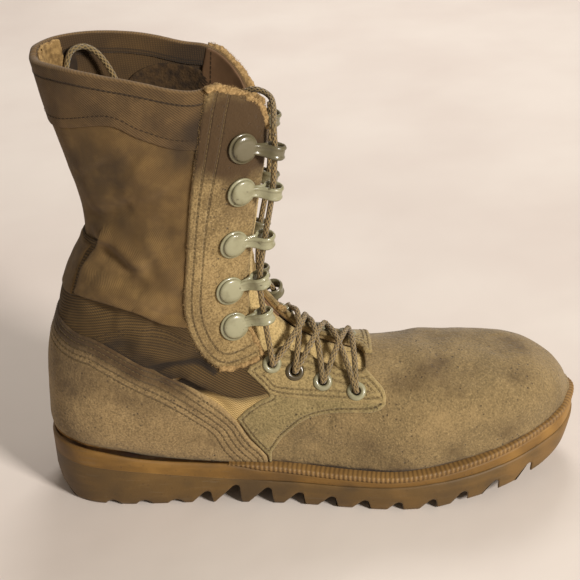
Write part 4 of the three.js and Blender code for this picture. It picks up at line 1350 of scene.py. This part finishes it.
def web_lift(spots):
    lip = (smoothstep(7, 2, spots.inside(ANKLE_WEB)) * smoothstep(74, 90, spots.x)
           * smoothstep(122, 112, spots.x))
    return 1.2 + 1.5 * lip * smoothstep(100, 84, spots.z) - 1.8 * smoothstep(0.5, 3, spots.inside(CANVAS))


def web_shade_and_stains(spots):
    arc = np.abs(spots.z - line_height(WEB_ARC, spots.x) + 7)
    above = -spots.inside(COUNTER_EDGE_SHADE)
    # Painted shade on the webbing just above the counter's edge and along its crease.
    shade = 0.9 * smoothstep(14, 2, above) * smoothstep(30, 60, spots.x)
    crease = 1.2 * smoothstep(3, 0.5, to_line(WEB_CREASE, spots.x, spots.z)[0])
    return stains_and_shade(spots) + 0.4 * smoothstep(5, 0, arc) + shade + crease


def gusset_shade_and_mottling(spots):
    # Painted shade under the webbing's lip and towards the gusset's back end, with mottling.
    shade = 0.8 * smoothstep(7, 0, -spots.inside(ANKLE_WEB)) + 0.8 * smoothstep(101, 88, spots.x)
    return shade + ripple(spots.at, 15, 22) * 0.15


def off_fold(spots):
    return to_line(CANVAS_EDGE, spots.x, spots.z)[0]


def lip_region(spots):
    return np.minimum.reduce([spots.inside(CANVAS), 13 - off_fold(spots), 100 - spots.x])


def lip_lift(spots):
    return -0.5 + 2.7 * np.exp(-off_fold(spots) ** 2 / 28)


def rand_region(spots):
    return np.minimum.reduce([spots.over_sole(1.5), ledge(spots) + 0.7 - spots.over_sole(0), 118 - spots.x])


def tongue_region(spots):
    shelf = np.minimum(12 - spots.off_throat(), spots.under_rim() - 2)
    return np.minimum(shelf, (26.6 - spots.place) * 8)


def cloth_panels():
    marks = {"dirt_and_shade": stains_and_shade, "seam": lambda spots: spots.under_rim()}
    canvas = weave("shaft_cloth", tone(103, 78, 40), tone(76, 57, 28), tone(138, 109, 61), 0.00115, 0.5)
    inside = lining([8.5, 10.0])
    shaft = panel("shaft_canvas", shaft_region, -WALL, 0, patch(11.8, 29, -0.5, 0.5, 1.7), canvas,
                  both=True,
                  inner=inside, marks=marks)
    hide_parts("upper")
    panel("canvas_fold", lip_region, -1.6, lip_lift, patch(18, 26, -0.42, 0.42, 1.2), canvas,
          marks=marks)
    band_marks = {"dirt_and_shade": stains_and_shade,
                  "seam": lambda spots: np.minimum(spots.under_rim(),
                                                   spots.z - line_height(COLLAR_BAND, spots.x) + 20)}
    twill = weave("collar_twill", tone(95, 72, 40), tone(70, 52, 26), tone(128, 100, 60), 0.0016, 0.6,
                  (6.2,))
    band_patch = patch(25, 29, -0.45, 0.45, 1.2)
    panel("collar_band", band_region, -0.4, 1.1, band_patch, twill, 0.9, marks=band_marks)
    panel("collar_fold", fold_region, -3.3, 1.15, patch(25, 29, -0.5, 0.5, 0.9), twill, 2.1,
          both=True,
          marks=band_marks)
    panel("collar_hem", hem_region, -3.4, -2.2, band_patch, inside, 0.9, both=True, marks=marks)
    tape = webbing("webbing", tone(58, 43, 19), tone(92, 70, 34), tone(68, 51, 23))
    panel("ankle_webbing", web_region, -0.3, web_lift, patch(10.5, 24, -0.42, 0.42, 1.2), tape,
          1.0,
          marks={"dirt_and_shade": web_shade_and_stains}, uv=web_uv)
    panel("back_strip", outline_edge(BACK_STRIP), -0.3, 2.0, patch(16, 25, -0.2, 0.2, 1.1), canvas,
          1.6,
          marks=marks)
    pale = webbing("gusset_cloth", tone(172, 144, 92), tone(200, 171, 114), tone(184, 156, 100), 0.0013)
    panel("ankle_gusset", outline_edge(GUSSET), -0.3, 0.5, patch(9, 15, 0.05, 0.42, 1.0), pale,
          0.8,
          marks={"dirt_and_shade": gusset_shade_and_mottling}, uv=gusset_uv)
    panel("ankle_gusset_medial", outline_edge(GUSSET), -0.3, 0.5, patch(9, 15, 0.58, 0.95, 1.0), pale,
          0.8,
          marks={"dirt_and_shade": gusset_shade_and_mottling}, uv=gusset_uv)


def leather_panels():
    marks = {"dirt_and_shade": stains_and_shade}
    tan = suede("vamp_suede", tone(126, 106, 70), tone(146, 124, 84), tone(96, 81, 52))
    vamp = panel("vamp", vamp_region, -WALL, 0, patch(-0.97, 12.1, 0, 1, 1.7), tan, both=True,
                 inner=plain("vamp_back", tone(98, 78, 50), tone(80, 62, 40), 0.95), marks=marks)
    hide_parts("upper")
    heel = suede("counter_suede", tone(138, 115, 77), tone(163, 138, 95), tone(102, 84, 52), COUNTER_ROWS)
    counter = panel("counter", counter_region, -0.3, 1.9, patch(10.2, 23, -0.42, 0.42, 1.5), heel,
                    1.3,
                    marks={"dirt_and_shade": stains_and_shade, "seam": counter_edge})
    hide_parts("heel_counter")
    panel("heel_rand", rand_region, -0.3, 1.8, patch(10.2, 20, -0.42, 0.42, 1.3),
          plain("rand_rubber", tone(140, 101, 48), tone(112, 80, 36), 0.8), 0.8)
    strap_look = suede("strap_suede", tone(132, 116, 76), tone(158, 140, 96), tone(98, 86, 54), (2.4,))
    stay_look = suede("stay_suede", tone(141, 122, 80), tone(168, 147, 100), tone(104, 91, 58), (2.6, 5.0))
    face_look = suede("facing_suede", tone(134, 112, 71), tone(170, 146, 100), tone(94, 76, 44), FACING_ROWS,
                      1.0)
    for side, name in SIDE_NAMES.items():
        first, last = (0.05, 0.55) if side == LATERAL else (0.42, 0.95)
        piece = panel("strap_" + name, strap_region(side), -0.3, 1.8, patch(7.6, 14.5, first, last, 1.2),
                      strap_look,
                      1.2, marks={"dirt_and_shade": stains_and_shade, "seam": outline_edge(stay_outline(side))})
        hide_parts("eyestay_" + name)
        piece = panel("stay_" + name, stay_region(side), -0.3, 2.5, patch(8, 17, first, last, 1.2),
                      stay_look,
                      1.3, marks={"dirt_and_shade": stains_and_shade, "seam": stay_edge(side)})
        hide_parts("eyestay_" + name)
        first, last = (0.2, 0.56) if side == LATERAL else (0.42, 0.8)
        piece = panel("lace_facing_" + name, facing_region(side), -0.3, 2.4,
                      patch(12.2, 29, first, last, 1.3),
                      face_look, 1.4, marks={"dirt_and_shade": stains_and_shade, "seam": facing_edge})
        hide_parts("facing_" + name)
        back = plain("backing_" + name, tone(118, 88, 60), tone(96, 70, 45), 0.8, 60)
        panel("facing_back_" + name, facing_region(side), -3.9, -2.1, patch(12.2, 29, first, last, 2.2),
              back,
              1.0, both=True)
    tongue_look = suede("tongue_suede", tone(178, 154, 102), tone(206, 180, 126), tone(132, 112, 72))
    shelf = panel("tongue_leather", tongue_region, -6.1, -3.5, patch(8, 26.8, 0.3, 0.7, 1.6), tongue_look,
                  1.2, both=True, marks=marks)
    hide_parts("tongue")


# ---------------------------------------------------------------- seams and frayed edges

def capsule(length, width, height):
    """A short rounded thread: points and faces."""
    points, faces = [], []
    for x, size in ((-0.5, 0.25), (-0.3, 0.85), (0, 1), (0.3, 0.85), (0.5, 0.25)):
        points += [(x * length, size * width / 2 * math.cos(a), size * height * math.sin(a))
                   for a in np.linspace(0, math.pi, 5)]
    for r in range(4):
        faces += [(r * 5 + i, r * 5 + 5 + i, r * 5 + 6 + i, r * 5 + 1 + i) for i in range(4)]
    return np.array(points), faces


def along_chain(chain, lift, pitch):
    """Evenly spaced places along a chain of the form's places, with directions."""
    at, out = skin(chain, lift)
    run = np.concatenate([[0], np.cumsum(np.linalg.norm(np.diff(at, axis=0), axis=1))])
    if run[-1] < 2 * pitch:
        return None
    places = np.arange(pitch / 2, run[-1], pitch)
    point = np.column_stack([np.interp(places, run, at[:, k]) for k in range(3)])
    normal = np.column_stack([np.interp(places, run, out[:, k]) for k in range(3)])
    normal /= np.linalg.norm(normal, axis=1, keepdims=True)
    smooth_at = np.column_stack([np.interp(places + 1.2, run, at[:, k]) for k in range(3)])
    behind = np.column_stack([np.interp(places - 1.2, run, at[:, k]) for k in range(3)])
    way = smooth_at - behind
    way /= np.maximum(np.linalg.norm(way, axis=1, keepdims=True), 1e-9)
    side = np.cross(normal, way)
    params = np.column_stack([np.interp(places, run, chain[:, k]) for k in range(2)])
    return point, way, normal, side, params


def stitch_rows(name, region, levels, lift, patch_, material, keep, pitch=2.7):
    """Rows of stitches on a panel, at distances in from a region's edge, wherever keep is positive."""
    frames = []
    for level in levels:
        for chain in contour(region, level, patch_):
            found = along_chain(chain, lift, pitch)
            if found is None:
                continue
            good = keep(Spots(found[4])) > 0
            frames.append([part[good] for part in found[:4]])
    if not frames:
        return None
    point, way, normal, side = (np.vstack(parts) for parts in zip(*frames))
    shape, faces = capsule(pitch * 0.8, 0.55, 0.26)
    return scatter(name, shape, faces, (point, way, normal, side), material)


def seams():
    dark = plain("thread_dark", tone(44, 31, 15), tone(58, 42, 22), 0.9, 900, 0.0001)
    tan = plain("thread_tan", tone(82, 66, 38), tone(106, 88, 54), 0.9, 900, 0.0001)
    collar = patch(25, 29, -0.45, 0.45, 1.5)
    stitch_rows("stitches_rim", lambda s: s.under_rim(), (6.2,), 1.15, collar, dark,
                lambda s: s.off_throat() - 1)
    stitch_rows("stitches_band", lambda s: s.z - line_height(COLLAR_BAND, s.x), (5.6,), 1.15, collar, dark,
                lambda s: np.minimum(s.off_throat(), -s.inside(FACING)) - 0.5)
    ankle = patch(11, 22, -0.42, 0.42, 1.5)
    stitch_rows("stitches_ankle", lambda s: s.z - line_height(WEB_ARC, s.x), (0.0, -3.0), 1.25, ankle, dark,
                lambda s: np.minimum.reduce([s.x - 32, 98 - s.x, -s.inside(FACING)]))
    heel = patch(10.2, 23, -0.42, 0.42, 1.5)
    stitch_rows("stitches_counter", counter_edge, COUNTER_ROWS, 1.9, heel, tan,
                lambda s: counter_region(s) - 1.5)
    for side, name in SIDE_NAMES.items():
        first, last = (0.05, 0.55) if side == LATERAL else (0.42, 0.95)
        low = patch(7.6, 17, first, last, 1.2)
        strap, stay, face = strap_region(side), stay_edge(side), facing_region(side)
        stitch_rows("stitches_strap_" + name, outline_edge(stay_outline(side)), (2.4,), 1.8, low, tan,
                    lambda s: np.minimum(strap(s) - 1.5, -stay(s)))
        stitch_rows("stitches_stay_" + name, stay, (2.6, 5.0), 2.45, low, tan,
                    lambda s: np.minimum(stay(s) - 1.5, -face(s)))
        first, last = (0.2, 0.56) if side == LATERAL else (0.42, 0.8)
        high = patch(12.2, 29, first, last, 1.3)
        stitch_rows("stitches_facing_" + name, facing_edge, FACING_ROWS, 2.4, high, tan,
                    lambda s: face(s) - 1.5)
        stitch_rows("stitches_backing_" + name, lambda s: s.x - 103 - (s.z - 257) * 0.085, (0.0, 7.0), -4.1,
                    high, dark,
                    lambda s: np.minimum(face(s) - 2, s.z - 226))


def frayed_edge(name, region, keep, patch_, lift, radius, material, hairs, reach, seed):
    """A lumpy roll of loose fibres along a raw edge, with single fibres standing out of it."""
    own = np.random.default_rng(seed)
    angle = np.linspace(0, 2 * math.pi, 17)[:-1]
    n = len(angle)
    rings, faces, frames = [], [], []
    for chain in contour(region, 0.4, patch_):
        found = along_chain(chain, lift, 0.6)
        if found is None:
            continue
        kept = np.flatnonzero(keep(Spots(found[4])) > 0)
        for run in np.split(kept, np.flatnonzero(np.diff(kept) > 2) + 1):
            if len(run) < 6:
                continue
            point, way, normal, side = (part[run] for part in found[:4])
            around = (np.cos(angle)[None, :, None] * normal[:, None]
                      + np.sin(angle)[None, :, None] * side[:, None])
            ring = point[:, None] + radius * around
            flat = ring.reshape(-1, 3)
            lumps = 1 + 0.24 * ripple(flat, 7, seed) + 0.16 * ripple(flat, 2.6, seed + 1)
            lumps = lumps.reshape(len(point), n) + 0.05 * own.normal(size=(len(point), n))
            lumps[[0, -1]] *= 0.2
            start = sum(len(part) for part in rings)
            rings.append((point[:, None] + radius * lumps[..., None] * around).reshape(-1, 3))
            faces += [(start + r * n + i, start + r * n + (i + 1) % n, start + (r + 1) * n + (i + 1) % n,
                       start + (r + 1) * n + i) for r in range(len(point) - 1) for i in range(n)]
            frames.append((point, way, normal, side))
    if not frames:
        return
    if radius > 0.5:
        make_piece(name, np.vstack(rings), faces, material)
    point, way, normal, side = (np.vstack(parts) for parts in zip(*frames))
    pick = own.integers(0, len(point), hairs)
    spread = own.normal(size=(hairs, 3))
    along = (normal[pick] * (0.4 + 0.6 * spread[:, :1]) + side[pick] * spread[:, 1:2]
             + way[pick] * 1.1 * spread[:, 2:])
    along /= np.linalg.norm(along, axis=1, keepdims=True)
    across = np.cross(along, own.normal(size=(hairs, 3)))
    across /= np.linalg.norm(across, axis=1, keepdims=True)
    base = point[pick] + along * radius * 0.8 + own.normal(size=(hairs, 3)) * 0.3
    sizes = np.column_stack([reach * own.uniform(0.4, 1.2, hairs), np.ones(hairs),
                             reach * own.uniform(-0.7, 0.7, hairs)])
    blade = np.array([[0, -0.07, 0], [0, 0.07, 0], [0.5, 0.05, 0.12], [0.5, -0.05, 0.12], [1, 0, 0.5]])
    scatter(name + "_fibres", blade, [(0, 1, 2, 3), (3, 2, 4)],
            (base, along, np.cross(along, across), across),
            material, sizes)


def worn_edges():
    fluff = plain("loose_fibres", tone(170, 140, 94), tone(128, 102, 62), 0.95, 700, 0.0006)
    dull = plain("dull_fibres", tone(138, 118, 78), tone(104, 88, 56), 0.95, 700, 0.0006)
    for side, name in SIDE_NAMES.items():
        first, last = (0.2, 0.56) if side == LATERAL else (0.42, 0.8)
        face = facing_region(side)
        high = patch(12.2, 29, first, last, 1.3)
        top = lambda s: np.minimum(s.z - 226, 1.5 - np.minimum(s.under_rim() + 0.5, s.off_throat()))
        frayed_edge("fray_top_" + name, face, top, high, 0.9, 2.1, fluff, 3200, 1.3, 41 + side)
        back = lambda s: np.minimum(face(s) + 0.4, 1.0 - s.inside(FACING))
        frayed_edge("fray_back_" + name, outline_edge(FACING), back, high, 1.6, 0.35, fluff, 2600, 0.9,
                    45 + side)
        corner = lambda s: np.minimum(112 - s.z, s.x - 104)
        frayed_edge("fray_corner_" + name, face, corner, high, 1.2, 1.7, fluff, 1100, 1.4, 49 + side)
        throat = lambda s: np.minimum.reduce([226 - s.z, s.z - 100, 1.5 - s.off_throat()])
        frayed_edge("fray_front_" + name, face, throat, high, 1.0, 0.8, dull, 1100, 1.0, 53 + side)
        first, last = (0.05, 0.55) if side == LATERAL else (0.42, 0.95)
        stay = stay_edge(side)
        edge = lambda s: 1.2 - s.off_throat()
        frayed_edge("fray_stay_" + name, stay, edge, patch(8, 17, first, last, 1.2), 1.4, 1.1, dull, 1100,
                    1.1, 57 + side)
    inside_cloth()


def torn_region(spots):
    ragged = 1.6 * ripple(spots.at, 9, 61) + 0.8 * ripple(spots.at, 4, 62)
    return np.minimum.reduce([spots.under_rim() - 0.4, 30 - spots.under_rim(), (0.03 - spots.turn) * 290,
                              (spots.turn + 0.07) * 290]) + np.minimum(ragged, 0)


def inside_cloth():
    """Inside the collar: the torn lining at the back, and an oval patch on the inner wall."""
    beige = plain("torn_lining", tone(156, 126, 78), tone(108, 83, 46), 0.95, 260, 0.0016)
    swell = lambda spots: -3.4 + 0.8 * ripple(spots.at, 6, 63) + 0.4 * ripple(spots.at, 2.6, 64)
    torn = patch(24.5, 29, -0.16, 0.06, 0.6)
    panel("lining_torn", torn_region, -5.6, swell, torn, beige, 2.0, both=True)
    fluff = plain("lining_fibres", tone(168, 138, 90), tone(128, 100, 60), 0.95, 700, 0.0006)
    frayed_edge("lining_fray", torn_region, lambda s: 30 - s.under_rim(), torn, -4.2, 1.0, fluff, 1600, 1.6,
                71)
    # A near-black panel painted as the shade inside a hole in the lining.
    gap = plain("lining_gap", tone(34, 24, 12), tone(48, 34, 18), 0.95)
    hole = lambda spots: 5 - np.hypot((spots.x - 28) / 1.0, (spots.z - 250) / 1.9) - 8 * (spots.y < 0)
    panel("lining_hole", hole, -4.1, -3.2, patch(24.5, 29, -0.2, 0.02, 0.8), gap, 0.8, both=True)
    oval = lambda spots: 13 * (1 - np.hypot((spots.x - 85) / 26, (spots.z - 232) / 13)) - 30 * (spots.y < 0)
    patch_look = plain("inner_patch", tone(72, 52, 26), tone(44, 30, 13), 0.95, 240, 0.0012)
    panel("patch_inside", oval, -3.9, -2.3, patch(24.5, 29, -0.46, -0.1, 1.0), patch_look, 1.2,
          both=True)


# ---------------------------------------------------------------- sole

SOLE_ROWS = [[2.5, -14, 14], [9, -26, 25.5], [22, -35, 34], [42, -39.5, 38], [65, -40.5, 37.5],
             [90, -41, 34.5],
             [118, -43, 33], [148, -47, 35.5], [176, -52.5, 42], [202, -56.5, 48.5], [228, -56, 50.5],
             [252, -51.5, 48.5], [274, -43, 43], [291, -32.5, 35], [303, -22.5, 28], [311, -9.5, 18]]
HEEL_BACK, TOE_TIP, TOE_CENTRE = 1, 315, 5
SIDE_LEVELS = np.array([[-0.5, 5], [0, 3.2], [0.4, 0.7], [1.4, 0]])
TREAD_LINE = np.array([[-10, -1.5], [225, -1.5], [246, 2], [268, 4.5], [292, 9], [310, 15.5], [322, 22]])
SCALLOPS_AT, SCALLOP_HEIGHT, SCALLOP_HALF = (36, 55, 74), 3, 5
RIPPLES = [[93, 8], [110, 13], [128.6, 11.4], [147, 8.8], [165.5, 7.1], [184.5, 5.8], [204, 5], [224, 6],
           [242.6, 9],
           [262, 12], [283.6, 16]]
HEEL_BEVEL = [[6, 3], [13, -1.5]]


def tread_profile():
    line = [[-10, 7], *HEEL_BEVEL]
    for x in SCALLOPS_AT:
        line += [[x + SCALLOP_HALF * t, -1.5 + SCALLOP_HEIGHT * (1 - t * t)] for t in np.linspace(-1, 1, 9)]
    for x, apex in RIPPLES:
        rise = apex - line_height(TREAD_LINE, x)
        foot = x - 2.6 - rise * 0.75
        line += [[foot, line_height(TREAD_LINE, foot)], [x - 2.4, apex - 1], [x - 0.6, apex],
                 [x + 1, apex - 0.6],
                 [x + 1.9, apex - 2.2], [x + 2.3, line_height(TREAD_LINE, x + 2.3)]]
    return np.array(line + [row for row in TREAD_LINE.tolist() if row[0] > 289])


def sole_outline(step=0.9):
    """The outline seen from above, from the heel round the outer side and back, with inward directions."""
    rows = np.array(SOLE_ROWS)
    ring = np.vstack([[[HEEL_BACK, 0]], rows[:, [0, 1]], [[TOE_TIP, TOE_CENTRE]], rows[::-1][:, [0, 2]]])
    line = curve(ring, step, closed=True)
    run = np.concatenate([[0], np.cumsum(np.linalg.norm(np.diff(np.vstack([line, line[:1]]), axis=0),
                                                        axis=1))])
    even = np.linspace(0, run[-1], round(run[-1] / step), endpoint=False)
    looped = np.vstack([line, line[:1]])
    line = np.column_stack([np.interp(even, run, looped[:, k]) for k in range(2)])
    way = np.roll(line, -2, axis=0) - np.roll(line, 2, axis=0)
    way /= np.linalg.norm(way, axis=1, keepdims=True)
    return line, np.column_stack([-way[:, 1], way[:, 0]]), even


def wall_points(line, inward, low, high, rows):
    """Rings of points up the sole's side between two lines: rows are shares of the height and insets."""
    rings = []
    for share, extra in rows:
        bottom, top = low(line[:, 0]), high(line[:, 0])
        z = bottom + (top - bottom) * share
        tread, crown = line_height(TREAD_LINE, line[:, 0]), line_height(TOP_LINE, line[:, 0])
        inset = np.interp((z - tread) / (crown - tread), SIDE_LEVELS[:, 0], SIDE_LEVELS[:, 1])
        inset = inset + (extra(line[:, 0]) if callable(extra) else extra)
        rings.append(np.column_stack([line + inward * inset[:, None], z]))
    return rings


def skirt(rings):
    """Faces between rings, which run the same way round."""
    n = len(rings[0])
    i = np.arange(n)
    j = (i + 1) % n
    return [face for r in range(len(rings) - 1)
            for face in np.column_stack([r * n + j, r * n + i, (r + 1) * n + i, (r + 1) * n + j]).tolist()]


def span(ring, start, pieces=9, lift=None):
    """Rows of points across the sole between a ring's two sides, and their faces, from end to end."""
    n = len(ring)
    points, faces = [], []
    pairs = [(i, (n - i) % n) for i in range(0, n // 2 + 1)]
    for a, b in pairs:
        for t in np.linspace(0, 1, pieces):
            point = ring[a] * (1 - t) + ring[b] * t
            if lift is not None:
                point[2] = lift(point[0])
            points.append(point)
    for r in range(len(pairs) - 1):
        for i in range(pieces - 1):
            a = start + r * pieces + i
            faces.append((a, a + 1, a + pieces + 1, a + pieces))
    return points, faces


def sole_layer(name, low, high, rows, material, tread=False, step=0.9):
    line, inward, _ = sole_outline(step)
    rings = wall_points(line, inward, low, high, rows)
    points = np.vstack(rings)
    faces = skirt(rings)
    under, more = span(rings[0], len(points), lift=low if tread else None)
    points, faces = np.vstack([points, under]), faces + more
    over, more = span(rings[-1], len(points), 4)
    points, faces = np.vstack([points, over]), faces + [face[::-1] for face in more]
    worn = 0.3 * ripple(points, 30, 31) + 0.25 * ripple(points * [0.6, 0.6, 2], 12, 32)
    # Painted shade at the waist, where the sole lies back under the upper.
    worn += 0.6 * np.exp(-((points[:, 0] - 125) / 32) ** 2)
    worn -= 0.7 * smoothstep(250, 305, points[:, 0]) - 0.25 * smoothstep(70, 20, points[:, 0])
    return make_piece(name, points, faces, material, values={"dirt_and_shade": worn}, merge=2e-5)


def soles():
    tread = tread_profile()
    seat = lambda x: line_height(TOP_LINE, x) - 3.2 * smoothstep(104, 128, x)
    band = lambda x: line_height(BAND_LINE, x)
    ground = lambda x: np.interp(x, tread[:, 0], tread[:, 1])
    lower = rubber("tread_side", tone(100, 75, 35), tone(117, 87, 42), tone(79, 60, 32), 0.3)
    upper_band = rubber("band_side", tone(121, 87, 33), tone(144, 107, 48), tone(94, 68, 29), 0.2)
    step = lambda x: smoothstep(104, 150, x)
    wall = [(0, 1.4), (0.03, 0.5), (0.1, 0.1), (0.3, 0), (0.5, 0), (0.75, 0), (0.93, 0),
            (0.98, lambda x: 0.25 * step(x)), (1, lambda x: 0.05 + 0.85 * step(x))]
    piece = sole_layer("tread_sole", ground, lambda x: band(x) - 0.1, wall, lower,
                       tread=True,
                       step=0.55)
    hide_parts("outsole")
    rows = [(0, lambda x: 1.3 * step(x)), (0.04, lambda x: 0.8 * step(x)), (0.12, lambda x: 0.55 * step(x)),
            (0.4, lambda x: 0.45 * step(x)), (0.8, lambda x: 0.45 * step(x)), (0.94, 0.5), (1, 1.5)]
    piece = sole_layer("band_sole", lambda x: band(x) - 0.1, seat, rows, upper_band)
    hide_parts("midsole")
    welt_strip()


def welt_strip():
    """The ribbed strip that the upper is stitched to, from the arch round the toe."""
    line, inward, run = sole_outline(0.55)
    keep = line[:, 0] > 106
    start = np.argmax(~keep & np.roll(keep, -1)) + 1
    order = (start + np.arange(keep.sum())) % len(line)
    line, inward, run = line[order], inward[order], run[order]
    rib = 0.3 * np.cos(2 * math.pi * np.arange(len(run)) * 0.55 / 2.7)
    rise = smoothstep(106, 128, line[:, 0])
    seat = line_height(TOP_LINE, line[:, 0]) - 3.2 * rise
    rings = []
    for share, extra in [(0, 7), (0, 1.2), (0.15, 0.6), (0.4, 0.3), (0.75, 0.3), (0.95, 0.7), (1.05, 1.6),
                         (1.05, 7)]:
        z = seat + (3.3 * rise + 0.25) * share
        ribbed = extra - (rib if 0 < share < 1.05 else 0)
        rings.append(np.column_stack([line + inward * np.reshape(ribbed + 0 * run, (-1, 1)), z]))
    n = len(line)
    faces = [(r * n + i + 1, r * n + i, (r + 1) * n + i, (r + 1) * n + i + 1)
             for r in range(len(rings) - 1) for i in range(n - 1)]
    look = rubber("welt_rubber", tone(138, 105, 56), tone(158, 123, 70), tone(84, 60, 30), 0.2)
    worn = np.tile(rib / 0.3 * -0.55, len(rings)) + 0.15
    piece = make_piece("welt_ribbed", np.vstack(rings), faces, look, values={"dirt_and_shade": worn})
    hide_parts("welt")


camera()
laces()
studio()
soles()
cloth_panels()
leather_panels()
metalwork()
seams()
worn_edges()
{"cad": cad_box, "visual": [list(corner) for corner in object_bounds()]}
